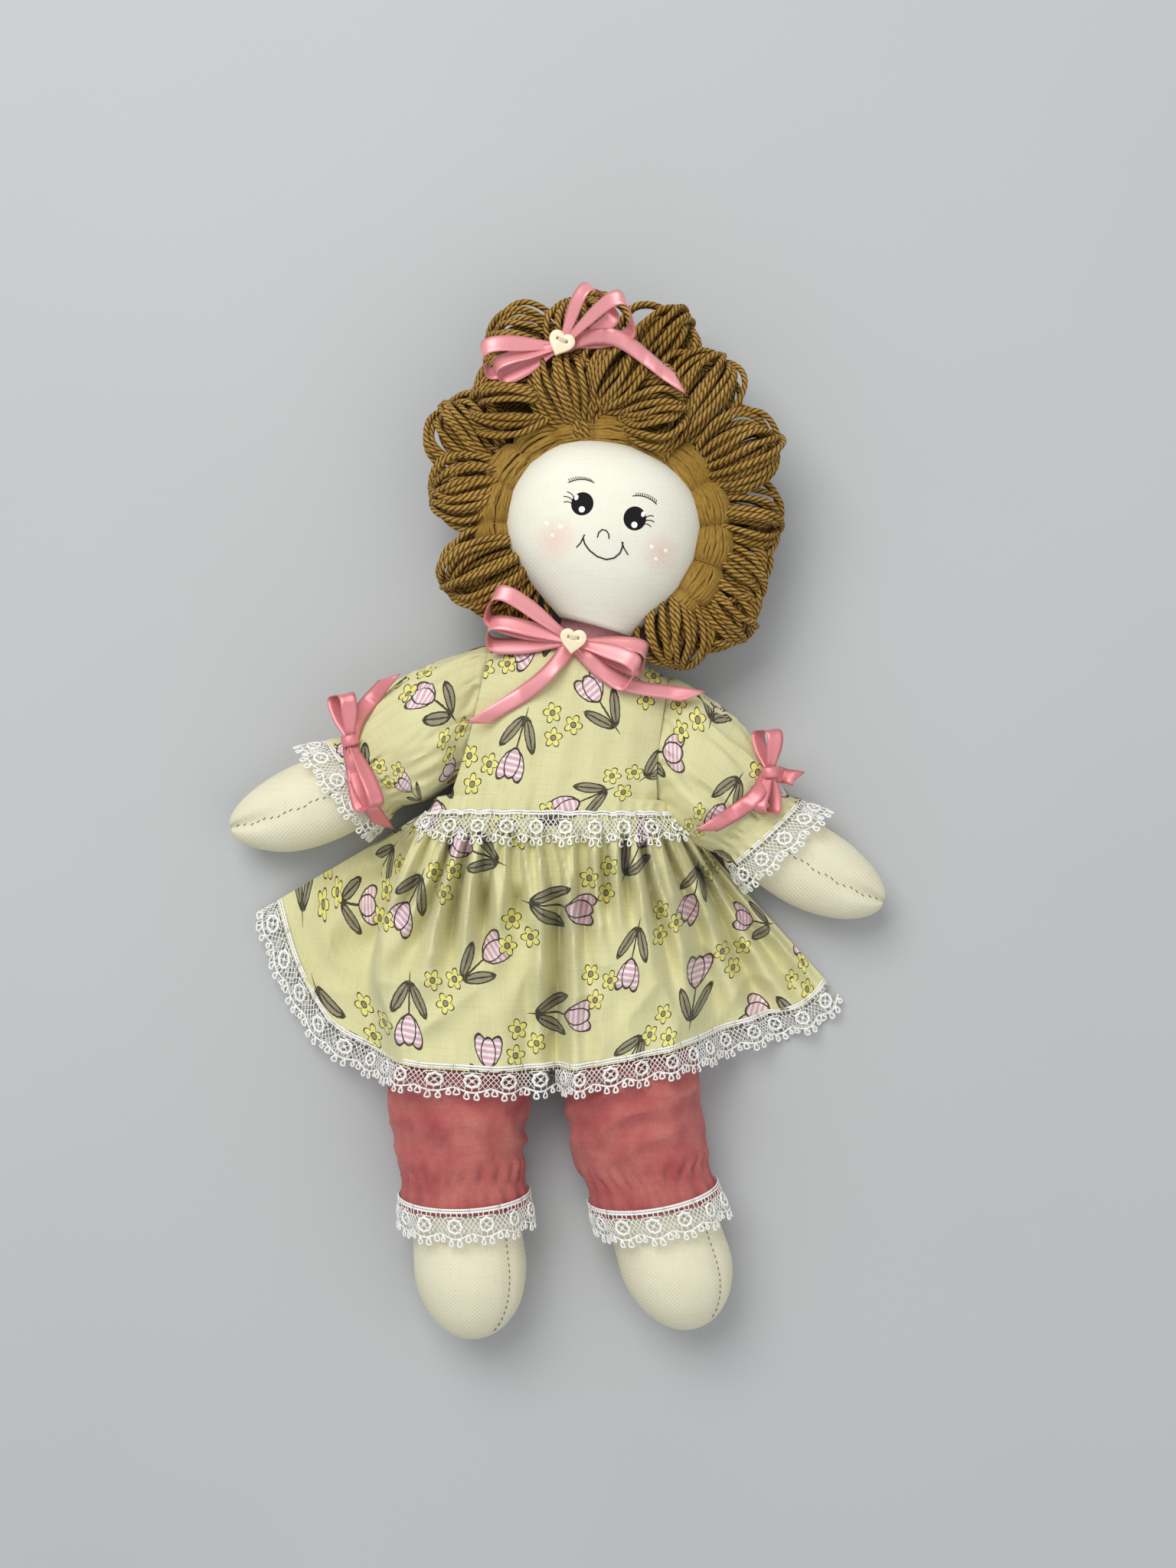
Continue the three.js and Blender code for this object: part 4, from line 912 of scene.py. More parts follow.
# Stuffed parts that the clothes mostly hide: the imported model's own shape, softened and rounded. Each has the
# size in millimetres of the even faces that it is made of.
for part, voxel in {"torso": 2.0, "neck": 1.0, "arm_top_left": 1.0, "arm_top_right": 1.0, "leg_top_left": 1.0,
                    "leg_top_right": 1.0}.items():
    packed = frame["nodes"][part]
    soft = packed.copy()
    soft.data = packed.data.copy()
    soft.data.transform(packed.matrix_world)
    rework(soft.data, weld)
    soft.name = part + "_stuffed"
    soft.parent = None
    soft.matrix_world = Matrix.Identity(4)
    bpy.context.scene.collection.objects.link(soft)
    remesh = soft.modifiers.new("even", "REMESH")
    remesh.mode = "VOXEL"
    remesh.voxel_size = voxel * MM
    soften = soft.modifiers.new("soften", "SMOOTH")
    soften.iterations = 6
    soften.factor = 0.6
    apply_modifiers(soft)
    dress(soft.data, calico)
    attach(soft, part)
    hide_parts(part)

# Arms: each a stuffed tube that narrows to a pinched hand, with its seam along the upper side
ARM_LENGTH, ARM_WIDE, ARM_DEEP, CUFF = 107.0, 17, 16.3, 45.0
ARM_BEND = 35  # from here the arm curves outwards to the hand
ARM_LEAN = {"left": radians(43), "right": radians(-52)}
SHOULDER_OUT, SHOULDER_JOINT_UP = 50, 40
SHOULDER = {side: on_trunk(sign * SHOULDER_OUT, SHOULDER_JOINT_UP) for side, sign in SIDES.items()}
ARM_WIDTHS = [(0, 0.8), (0.13, 0.8), (0.42, 1), (0.63, 1.08), (1, 1.08)]


def rounded(distance, length, power):
    """Share of its full width that a rounded end leaves at a distance from the tip."""
    return 1.0 if distance >= length else max(1 - (1 - distance / length) ** power, 0.0001) ** 0.5


def arm_side(s):
    """How far the arm has curved outwards s millimetres down from the shoulder."""
    return 19 * max((s - ARM_BEND) / (ARM_LENGTH - ARM_BEND), 0) ** 2


def arm_height(s):
    return mix(MID, 17.2, smooth(s / (ARM_LENGTH * 0.7)))


def on_arm(side, x, s, z):
    """A point x across the arm and s down from the shoulder."""
    return SHOULDER[side] + Matrix.Rotation(ARM_LEAN[side], 3, "Z") @ Vector((x, -s, z))


def apart(angle, other):
    """The lesser angle from one direction to another."""
    return (angle - other + pi) % tau - pi


def arm_ring(side, s, grow=0.0, columns=64, hand=False):
    """A ring round the arm s down from the shoulder. A hand's ring is pinched along its two seams."""
    sign = SIDES[side]
    near, far = rounded(s, 13.6, 2), rounded(ARM_LENGTH - s, 40, 2.1)
    full = ARM_WIDE * follow(ARM_WIDTHS, s / ARM_LENGTH) * near * far
    slope = arm_side(s + 0.5) - arm_side(s - 0.5)
    across = Vector((1, sign * slope, 0)).normalized()
    ring = []
    for angle in around(columns):
        wide, deep = full + grow, min(ARM_DEEP * near * far, full) + grow
        pinch = 0.0
        if hand:
            tip = smooth((s - ARM_LENGTH * 0.66) / (ARM_LENGTH * 0.34))
            for at in (pi / 2, -pi / 2):
                pinch += 3.2 * tip * bell(apart(angle, at) / 0.24)
            dent = 0.4 * wobble(cos(angle) * wide, s, sin(angle) * deep, 13, sign)
            wide, deep = wide + dent, deep + dent
        c, d = cos(angle), sin(angle)
        x, z = (wide - pinch * abs(c)) * c, (deep - pinch) * d
        p = Vector((sign * arm_side(s), -s, 0)) + across * x
        ring.append(on_arm(side, p.x, -p.y, max(arm_height(s) + z, 0.15)))
    return ring


limbs = {}
for side, sign in SIDES.items():
    shares = [0.012 + 0.98 * (i / 60) for i in range(56)] + [0.94, 0.955, 0.97, 0.98, 0.988, 0.994]
    shares = sorted(set(round(s, 4) for s in shares))
    arm = stuffed(f"arm_{side}_skin", [arm_ring(side, s * ARM_LENGTH, hand=True) for s in shares], calico)
    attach(arm, "arm_" + side)
    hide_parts("arm_" + side)
    limbs["arm_" + side] = arm
    height = surface_below(arm)
    stitches = Threads()
    for k in range(17):
        s = 56 + k * 2.9
        ends = [on_arm(side, sign * (arm_side(s) + 0.5 * sin(k * 1.7)), s + d, 0) for d in (0.0, 0.75, 1.5)]
        stitches.lay([Vector((p.x, p.y, height(p.x, p.y) + 0.05)) for p in ends], 0.2, 5)
    stitches = stitches.piece(f"arm_{side}_seam_stitches", thread_dark)
    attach(stitches, "arm_" + side)

# Legs: straight stuffed tubes with a rounded foot, its seam along one side
LEG_LEAN = {"left": radians(9.5), "right": radians(1.8)}
LEG_LENGTH = {"left": 163.5, "right": 175.5}
GATHER = {"left": 94.0, "right": 104.0}
TOE_TURN = {"left": 9.5, "right": 3.0}
HIP_OUT = 33  # from the middle of the trunk to the joint of a leg
HIP = {side: on_trunk(sign * HIP_OUT, -52) for side, sign in SIDES.items()}
LEG_WIDTHS = [(0, 1), (0.6, 0.98), (0.75, 0.98), (0.85, 1.02), (1, 1.02)]
LEG_DEPTHS = [(0, 0.9), (0.55, 0.88), (0.74, 0.9), (0.86, 1), (1, 1)]
LEG_WIDE, LEG_DEEP = 24, 22
CUFF_WALL = 0.3 + 0.9 + 0.6 + 1.2  # gap, elastic and the two plies of a gathered cuff
SEAM_TURN = 0.75  # where the seam runs round the foot, as an angle from its side
LEG_PLEATS = 160  # points round a bloomers' leg
BLOOMERS_START = 14.0  # from the hip down to the leg's upper edge, under the skirt
SEAM_SUNK = 0.3


def leg_size(side, s):
    """Half width and half depth of the stuffed leg s down from the hip."""
    near, far = rounded(max(s - 7.4, 0), 22.6, 2), rounded(LEG_LENGTH[side] - s, 40, 2.5)
    share = s / LEG_LENGTH[side]
    return LEG_WIDE * follow(LEG_WIDTHS, share) * near * far, LEG_DEEP * follow(LEG_DEPTHS, share) * near * far


def leg_height(side, s):
    return mix(MID, 22.3, smooth((s / LEG_LENGTH[side] - 0.3) / 0.3))


def on_leg(side, x, s, z):
    """A point x across the leg and s down from the hip."""
    x += TOE_TURN[side] * smooth((s - LEG_LENGTH[side] + 95) / 95)
    return HIP[side] + Matrix.Rotation(LEG_LEAN[side], 3, "Z") @ Vector((x, -s, z))


def leg_ring(side, s, wide=0.0, deep=0.0, columns=64, ripple=None, foot=False):
    """A ring round the leg, so much outside its skin. ripple(angle, s) adds the cloth's own unevenness."""
    full_wide, full_deep = leg_size(side, s)
    ring = []
    for angle in around(columns):
        grow = ripple(angle, s) if ripple else 0.0
        if foot:
            grow += 0.4 * wobble(cos(angle) * 20, s, sin(angle) * 20, 14, SIDES[side])
            grow -= 0.7 * bell(apart(angle, SEAM_TURN) / 0.1)
        x, z = (full_wide + wide + grow) * cos(angle), (full_deep + deep + grow) * sin(angle)
        ring.append(on_leg(side, x, s, max(leg_height(side, s) + z, 0.15)))
    return ring


def spread_leg(piece, side):
    """Bakes the piece's placement into its points. The two points on the leg that it works out are not used."""
    to_frame(on_leg(side, 0, 16, MID))
    to_frame(on_leg(side, 0, 94, MID))
    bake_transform(piece)


for side, sign in SIDES.items():
    shares = [0.048 + 0.94 * i / 62 for i in range(60)] + [0.965, 0.976, 0.985, 0.991, 0.996]
    shares = sorted(set(round(s, 4) for s in shares))
    rings = [leg_ring(side, s * LEG_LENGTH[side], foot=True) for s in shares]
    leg = stuffed(f"leg_{side}_skin", rings, calico)
    spread_leg(leg, side)
    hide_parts("leg_" + side)
    limbs["leg_" + side] = leg
    stitches = Threads()
    for k in range(22):
        s = GATHER[side] + 24 + k * 2.6
        if s > LEG_LENGTH[side] - 4:
            break
        path = []
        for d in (0.0, 0.6, 1.2):
            full_wide, full_deep = leg_size(side, s + d)
            x, z = (full_wide - SEAM_SUNK) * cos(SEAM_TURN), (full_deep - SEAM_SUNK) * sin(SEAM_TURN)
            path.append(on_leg(side, x, s + d, leg_height(side, s + d) + z))
        stitches.lay(path, 0.17, 5)
    stitches = stitches.piece(f"leg_{side}_seam_stitches", thread_dark)
    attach(stitches, "leg_" + side)

    # Bloomers' leg: it bellies out over the elastic that gathers it, above a short frill
    def puckers(angle, s):
        """Fine pleats at the elastic, and above it broad bulges and sags."""
        near = bell((s - GATHER[side]) / 6)
        turn = 24 * angle + 3.0 * wobble(s * 1.5, angle * 6, 0, 9) + 1.2 * sin(3 * angle)
        fine = (abs(cos(turn / 2)) - 0.35) * 2.2 * near
        broad = 2.0 * wobble(cos(angle) * 20, s * 0.8, sin(angle) * 20, 14, sign * 3)
        sag = 1.0 - 4.0 * abs(wobble(cos(angle) * 16, s * 1.3, sin(angle) * 16, 17, sign * 7))
        return fine + (broad + 1.3 * sag) * (1 - near)

    def frill(angle, s):
        return (puckers(angle, s) * (1 - 0.8 * smooth((s - gather) / 6))
                + 0.7 * cos(20 * angle) * smooth((s - gather) / 8))

    rows, downs = [], []
    start, gather = BLOOMERS_START, GATHER[side]
    for i in range(52):
        t = i / 51 * 0.985
        s = mix(start, gather - 2.0, t)
        arch = max(sin(pi * t ** 1.25), 0) ** 0.42
        wall = mix(1.6, CUFF_WALL - 1.0, smooth((t - 0.8) / 0.2)) + 1.2 * max(1 - t / 0.3, 0)
        rows.append(leg_ring(side, s, wall + 3.4 * arch, wall + 2.2 * arch, LEG_PLEATS, puckers))
        downs.append(s)
    for i in range(1, 14):
        s = gather - 2.0 + 17.0 * i / 13
        flare = 1.6 * smooth((i - 2) / 9)
        rows.append(leg_ring(side, s, CUFF_WALL - 1.2 + flare, CUFF_WALL - 1.0 + flare * 0.5, LEG_PLEATS, frill))
        downs.append(s)
    cut = [[(j / LEG_PLEATS * 0.2, down * MM) for j in range(LEG_PLEATS)] for down in downs]
    bloomers = cloth_sheet(f"bloomers_{side}_leg_cloth", rows, cut, rose_cotton, ROSE_PLY, closed=True)
    spread_leg(bloomers, side)
    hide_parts("bloomers_leg_" + side, "bloomers_elastic_" + side)
    limbs["bloomers_" + side] = bloomers

# Trunk clothes: the bloomers' seat, the bodice and its felt collar
TORSO_WIDTHS = [(0, 0.86), (0.15, 0.95), (0.37, 0.98), (0.66, 1), (0.74, 0.97), (0.86, 0.7), (1, 0.3)]
TORSO_DEPTHS = [(0, 0.14), (0.05, 0.42), (0.1, 0.66), (0.15, 0.86), (0.22, 1), (0.72, 0.97), (0.87, 0.64), (1, 0.3)]
SEAT_LOW = 46  # how far the trunk reaches below the waist
TORSO_SPAN = SEAT_LOW + NECK_FOOT - 2 - 6 - 0.3
WAIST_SHARE = SEAT_LOW / TORSO_SPAN
TORSO_WIDE, SEAT_DEEP, BUST_DEEP = 42.7, 20.7, 21.4
SEAT_COLUMNS = 96


def torso_ring(t, grow):
    """A ring round the trunk from the seat (0) to the neck (1)."""
    deep = mix(SEAT_DEEP, BUST_DEEP, smooth((t - WAIST_SHARE) / WAIST_SHARE))
    ring = []
    for angle in around(SEAT_COLUMNS):
        p = superellipse(Vector((0, -SEAT_LOW + t * TORSO_SPAN, MID)), TORSO_WIDE * follow(TORSO_WIDTHS, t) + grow,
                         deep * follow(TORSO_DEPTHS, t) + grow, angle, ROUND)
        ring.append(on_trunk(p.x, p.y, max(p.z, 4.1 - min(grow, 1.2))))
    return ring


rows = [torso_ring(mix(0.015, WAIST_SHARE - 0.02, i / 20), 2.0) for i in range(21)]
cut = [[(j / SEAT_COLUMNS * 0.26, i * 0.002) for j in range(SEAT_COLUMNS)] for i in range(21)]
seat = cloth_sheet("bloomers_seat_cloth", rows, cut, rose_cotton, ROSE_PLY, closed=True)
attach(seat, "torso")
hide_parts("bloomers_seat")

# Half widths of the bodice at waist, underarm and shoulder point, and how high the last two lie over the waist
WAIST_HALF, UNDERARM_HALF, SHOULDER_HALF = 54.0, 50, 38.5
UNDERARM_UP, SHOULDER_UP = 8, 68
NECKLINE_HALF, BODICE_DEEP, WAIST_RISE = 16, 24.0, 22.65
SIDE_GAP = 1.35  # from the trunk's middle height to the front's and the back's edge at the side seam
SOLE = 0.15  # least height of a cloth over the floor
ARMHOLES = [(0, 0), (0.05, 0.35), (0.2, 0.62), (0.45, 0.87), (0.7, 0.98), (1, 1)]
SHOULDER_SLOPE = (NECK_FOOT + 4 - 1.2 - SHOULDER_UP) / SHOULDER_HALF


def panel_edge(v):
    """Half width of the bodice at a share of its height: side seam, then armhole."""
    if v * SHOULDER_UP < UNDERARM_UP:
        return mix(WAIST_HALF, UNDERARM_HALF, v * SHOULDER_UP / UNDERARM_UP)
    return mix(UNDERARM_HALF, SHOULDER_HALF, follow(ARMHOLES, v))


def shoulder_line(a):
    return SHOULDER_UP + (SHOULDER_HALF - abs(a)) * SHOULDER_SLOPE


def panel_top(a):
    dip = 4 * (1 - (a / NECKLINE_HALF) ** 2) if abs(a) < NECKLINE_HALF else 0
    return shoulder_line(max(abs(a), NECKLINE_HALF)) - dip


def level_waist(a, b, z=0.0):
    """A point across and up the trunk, where the waist seam has settled level although the trunk leans."""
    p = on_trunk(a, b, z)
    settled = 1 - smooth(b / SEAT_LOW)
    p.y += (a * sin(TRUNK_TURN) * 0.92 + 2.6) * settled
    return p


def section(share):
    """Height of the trunk's rounded section, as a share of its full depth, at a share of its half width."""
    return max(1 - min(share, 1) ** ROUND, 0) ** (1 / ROUND)


def bodice_rise(a, b, v):
    """Share of its full height over the side seams that the bodice has at this place."""
    opened = 6 * min(smooth((v - 0.04) / 0.18), smooth((1 - v) / 0.12)) + 0.3
    side = section(abs(a) / (panel_edge(v) + opened))
    t = clamp((shoulder_line(a) - b) / BODICE_DEEP)
    return side * sqrt(max(1 - (1 - t) ** 2, 0))


def front_height(a, b, v):
    rise = bodice_rise(a, b, v)
    fold = 0.8 * (1 - v) * (1 + cos(tau * 8 * a / 108))
    gathers = 0.7 * cos(tau * a / 5.4 + 2 * wobble(a, b, 0, 8)) * bell(v / 0.12)
    drag = 1.1 * wobble(a + b * 0.4 * (1 if a > 0 else -1), b * 0.5, 0, 13, 4) * smooth(v / 0.2)
    return MID + 1.4 + (22.5 + fold) * rise + (gathers + drag) * min(rise * 2, 1) * 0.8


def back_height(a, b, v):
    return max(MID - SIDE_GAP - 25.2 * bodice_rise(a, b, v), SOLE)


def under_lap(a, b, v):
    """The right back panel, which steps over the left one where they lap."""
    return back_height(a, b, v) + 1.2 * smooth((a + 10.8) / 2.4)


def bodice_panel(name, low, high, height, columns, rows, up):
    """A panel from low to high across the trunk, where None is the side edge."""
    swell = 1.18 if low is None and high is None else 1.0

    def place(i, j):
        v = i / rows
        edge = panel_edge(v)
        across = (1 - cos(j / columns * pi)) / 2
        a = mix(-edge if low is None else low, edge if high is None else high, across)
        b = v * panel_top(a)
        x, y = BODICE_ON_CLOTH
        return level_waist(a, b, height(a, b, v)), ((a * swell + x) * MM, (b * 1.02 + y) * MM)

    return cloth_sheet(name, *grid_of(rows + 1, columns + 1, place), print_cotton, up=up)


bodice = bodice_panel("bodice_front_cloth", None, None, front_height, 120, 64, True)
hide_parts("bodice_front")
back_left = bodice_panel("bodice_back_left_cloth", -6, None, back_height, 50, 40, False)
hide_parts("bodice_back_left")
back_right = bodice_panel("bodice_back_right_cloth", None, 6, under_lap, 50, 40, False)
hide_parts("bodice_back_right")
for panel in (bodice, back_left, back_right):
    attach(panel, "torso")

COLLAR_REACH, COLLAR_TALL, FELT_THICK = 14.5 + 0.3 + 1.0, 11.6, 1.4


def collar_place(i, j):
    """A place of the collar's felt, which flares as it goes up and is bent over in the middle."""
    t, angle = i / 8, tau * j / SEAT_COLUMNS
    flare, bent = 1.6 * t * t, 0.9 * sin(pi * t)
    reach = COLLAR_REACH + flare + bent + 0.15 * wobble(angle * 4, t * 4, 0, 1)
    up = NECK_FOOT - 2 - 6.4 + COLLAR_TALL * t
    p = on_trunk(5.2 + 2.2 * t + reach * cos(angle), up, NECK_MID + reach * sin(angle))
    return p, (j * MM, i * MM)


collar = cloth_sheet("collar_felt_band", *grid_of(9, SEAT_COLUMNS, collar_place), felt, FELT_THICK,
                     closed=True)
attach(collar, "torso")
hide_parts("collar_band")

# Skirt: a gathered front over the legs and a back spread on the floor. The front is in two halves that meet
# in the deep middle fold, with a gusset behind the fold.
# The hem's place on the pattern at shares of the skirt's width; and the share of its height that a cloth keeps at
# shares of DRAPE_WIDE outside the line of a leg
HEM = [(-1, -120, -31), (-0.87, -110.5, -60), (-0.72, -95, -85), (-0.52, -64.5, -95.8), (0, 2, -98.6),
       (0.52, 60, -89), (0.72, 90, -82), (0.87, 110, -76.5), (1, 120, -66.5)]
DRAPE = [(0, 1), (0.15, 0.99), (0.25, 0.93), (0.35, 0.8), (0.42, 0.62), (0.5, 0.4), (0.6, 0.22), (0.75, 0.1), (1, 0)]
SKIRT_HIGH, HEM_HIGH, DRAPE_WIDE = 51.6, 4.0, 80
SEAT_CLEARS = 4.8  # room that the skirt leaves over the stuffed seat
COVER_OUT, COVER_DOWN = 63, 74  # where that room ends, across and down the trunk from the waist
MIDDLE_DIP = 11  # how far the cloth sinks between the legs
SIDE_FOLD = -0.86  # share of the waist at which the fold starts beyond which the cloth lies on the floor
LEG_CLEARS = 0.9


def straight(table, t):
    """Value at t of a table of (place, value) pairs, in a straight line between its entries."""
    if t <= table[0][0]:
        return table[0][1]
    for (t0, v0), (t1, v1) in zip(table, table[1:]):
        if t <= t1:
            return mix(v0, v1, (t - t0) / (t1 - t0))
    return table[-1][1]


def hem_at(u):
    """The hem's place on the floor at a share of the skirt's width."""
    return Vector((follow([(at, x) for at, x, _ in HEM], u), follow([(at, y) for at, _, y in HEM], u), 0))


def leg_offset(side, x, y):
    """How far a place lies outside the line of a leg."""
    axis = HIP[side].x + (HIP[side].y - y) * tan(LEG_LEAN[side])
    return SIDES[side] * (x - axis)


def drape(x, y):
    """Height of a cloth that lies over both legs and falls to the floor beside them."""
    left, right = leg_offset("left", x, y), leg_offset("right", x, y)
    off = max(left, right, 0)
    fall = HEM_HIGH + (SKIRT_HIGH - HEM_HIGH) * follow(DRAPE, min(off / DRAPE_WIDE, 1))
    middle = (right - left) / 2
    below = smooth((HIP["left"].y - y) / 30)
    return fall - MIDDLE_DIP * below * bell(middle / 8)


def seat_cover(x, y):
    """Height that clears the stuffed seat under the skirt; nothing beyond it."""
    p = Matrix.Rotation(TRUNK_TURN, 3, "Z") @ Vector((x, y - WAIST_UP, 0))
    deep = (SEAT_DEEP + SEAT_CLEARS) * smooth((p.y + SEAT_LOW + 2.4) / 23)
    bulge = deep * section(abs(p.x) / (TORSO_WIDE + SEAT_CLEARS))
    return (MID + bulge) * smooth((COVER_OUT - abs(p.x)) / 17) * smooth((p.y + COVER_DOWN) / 28)


# Folds of the front: place at the waist and at the hem, depth, and length as a share of the skirt's
FOLDS = [(-0.66, -0.66, 3, 0.6), (-0.5, -0.54, 4.5, 0.7), (-0.36, -0.42, 5.5, 0.75), (-0.24, -0.3, 6.5, 0.6),
         (-0.12, -0.18, 7, 0.5), (-0.02, 0.03, 8, 1.3), (0.09, 0.15, 6.5, 0.6), (0.2, 0.27, 5, 0.5),
         (0.33, 0.38, 5, 0.45), (0.46, 0.46, 6.5, 0.8), (0.6, 0.62, 5, 1.1), (0.74, 0.77, 5.5, 1.2),
         (0.88, 0.89, 4, 1.2)]


def skirt_folds(u, v):
    """Height of the gathered folds: sharp valleys that start at the waist and open out as they run down."""
    height = 0.0
    for at, to, deep, long in FOLDS:
        middle = mix(at, to, v) + 0.02 * sin(5 * v + 9 * at)
        wide = mix(0.022, 0.048, smooth(v * 1.4)) * (0.8 if long > 1.2 else 1.0)
        off = (u - middle) / wide
        fade = smooth((v - 0.03) / 0.12) * (1 - smooth((v - long * 0.5) / (long * 0.6)))
        height += 1.9 * deep * fade * (0.5 * bell((abs(off) - 1.6) / 0.8) - exp(-abs(off) ** 1.4))
    return height


over_legs = surface_below(limbs["bloomers_left"], limbs["bloomers_right"])


def skirt_point(u, v, front=True):
    """A point of the skirt at a share u of its width, from -1 to 1, and v of the way from waist to hem."""
    section_point = superellipse(Vector(), WAIST_HALF, WAIST_RISE, (1 - u) * pi / 2, ROUND)
    rise = section_point.z
    waist = level_waist(section_point.x, 0.8 if front else -0.9)
    p = waist.lerp(hem_at(u), v)
    wave = (1 + cos(pi * 9 * u)) / 2
    edge = 1 - smooth((abs(u) - 0.95) / 0.05)
    if front:
        start = MID + SIDE_GAP + rise - 0.9 * (1 - smooth(v / 0.03))
        fold = 1.6 * v * wave
        pucker = abs(cos(pi * 17 * u + 2.0 * wobble(u * 9, v * 2, 0, 1, 3))) - 0.6
        gather = 2.6 * pucker * bell(v / 0.2) * smooth(v / 0.02)
        ripple = 1.4 * wobble(u * 13, v * 1.6, 0, 1, 6) * smooth(v / 0.25)
        crease = 1.3 * (1 - 4 * abs(wobble(u * 7 + v, v * 5, 0, 1, 12))) * smooth(v / 0.3)
        cover = seat_cover(p.x, p.y) if abs(u) < 0.98 else 0
        p.z = max(mix(start, drape(p.x, p.y), smooth(v / 0.3)), cover)
        p.z += 3.2 * smooth(v / 0.1) * (1 - smooth((v - 0.4) / 0.6))
        # Beyond the fold on one side the cloth drops to the floor and lies there
        fold_line = SIDE_FOLD + 0.25 * v + 0.02 * sin(7 * v)
        over = smooth((u - fold_line) / mix(0.045, 0.13, smooth((v - 0.6) / 0.4)))
        lying = mix(p.z, 3.2 + 1.3 * (1 + sin(9 * u + 4 * v)),
                    smooth(v / 0.3) * (1 - 0.7 * smooth((v - 0.6) / 0.4)))
        rolled = 4.5 * bell((u - fold_line - 0.07) / 0.045) * smooth(v / 0.2)
        p.z = mix(lying, p.z + rolled, over)
        p.z += (fold + gather + ripple + crease + skirt_folds(u, v) * over) * edge
        p.z = max(p.z, cover * smooth(v / 0.02) + 0.4, 0.7)
        if v > 0.4:
            p.z = max(p.z, over_legs(p.x, p.y) + LEG_CLEARS)
    else:
        start = MID - SIDE_GAP - rise
        fold = 0.9 * v * wave * smooth((abs(u) - 0.7) / 0.1)
        p.z = max(start * (1 - smooth(v / 0.5)), 0) + fold + SOLE
    return p


def skirt_panel(name, low, high, columns, rows, front, drop=0.0):
    """The stretch of the skirt between two shares of its width."""
    def place(i, j):
        u, v = mix(low, high, j / columns), i / rows
        p = skirt_point(u, v, front)
        p.z -= drop
        x, y = SKIRT_ON_CLOTH if front else BACK_ON_CLOTH
        return p, ((u * SKIRT_CUT_HALF * (0.62 + 0.38 * v) + x) * MM, (-v * SKIRT_CUT_DEEP + y) * MM)

    return cloth_sheet(name, *grid_of(rows + 1, columns + 1, place), print_cotton, up=front)


def follow_leg(piece, side):
    """Bakes the piece's placement into its points."""
    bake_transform(piece)


skirt_left = skirt_panel("skirt_front_left_cloth", 0.0, 1.0, 130, 90, True)
skirt_right = skirt_panel("skirt_front_right_cloth", -1.0, 0.0, 130, 90, True)
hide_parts("skirt_front")
for side, half in (("left", skirt_left), ("right", skirt_right)):
    follow_leg(half, side)
gusset = skirt_panel("skirt_fold_gusset", -0.07, 0.07, 12, 60, True, drop=1.2)
skirt_back = skirt_panel("skirt_back_cloth", -1.0, 1.0, 160, 50, False)
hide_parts("skirt_back")
for piece in (gusset, skirt_back):
    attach(piece, "torso")

# Sleeves: full, gathered round the armhole and drawn in above a frill. Each is in two parts, split between
# the armhole and the cuff.
# Direction, start and end of a stretch between the split and the cuff for each sleeve; they are unpacked below but
# not used
SLEEVE_BEND = {"left": (-12, 53.1, 66.0), "right": (-28, 45.1, 56.0)}
SLEEVE_COLUMNS = 128
SLEEVE_SPLIT = 0.36  # share of the sleeve's length at which its two parts meet
SLEEVE_LONG = 66
ARMHOLE_DEEP = BODICE_DEEP * 0.62
CUFF_START, CUFF_REACH, FRILL_LONG = CUFF - 2.5, CUFF_WALL - 0.2, 8.5
SLEEVE_PUFF, SLEEVE_FULL = 6, 22.6


def armhole_point(side, angle, out=0.9, along=0.0, under=0.0):
    """A point round the armhole, so far outside the bodice's edge, along it and under its section."""
    v = mix(UNDERARM_UP / SHOULDER_UP, 1, (1 + cos(angle)) / 2)
    return on_trunk(SIDES[side] * (panel_edge(v) + out), v * SHOULDER_UP - along * cos(angle),
                    MID + sin(angle) * (ARMHOLE_DEEP - under))


def cuff_point(side, angle, s, grow):
    """A point round the arm for cloth and lace, with the section level as the doll lies."""
    ring = arm_ring(side, s, grow, 4)
    centre = sum(ring, Vector()) / len(ring)
    sign = SIDES[side]
    wide, deep = (ring[0] - ring[2]).length / 2, abs(ring[1].z - ring[3].z) / 2
    out = Matrix.Rotation(ARM_LEAN[side], 3, "Z") @ Vector((sign * wide * cos(angle), 0, 0))
    return Vector((centre.x + out.x, centre.y + out.y, max(centre.z + deep * sin(angle), 0.5)))


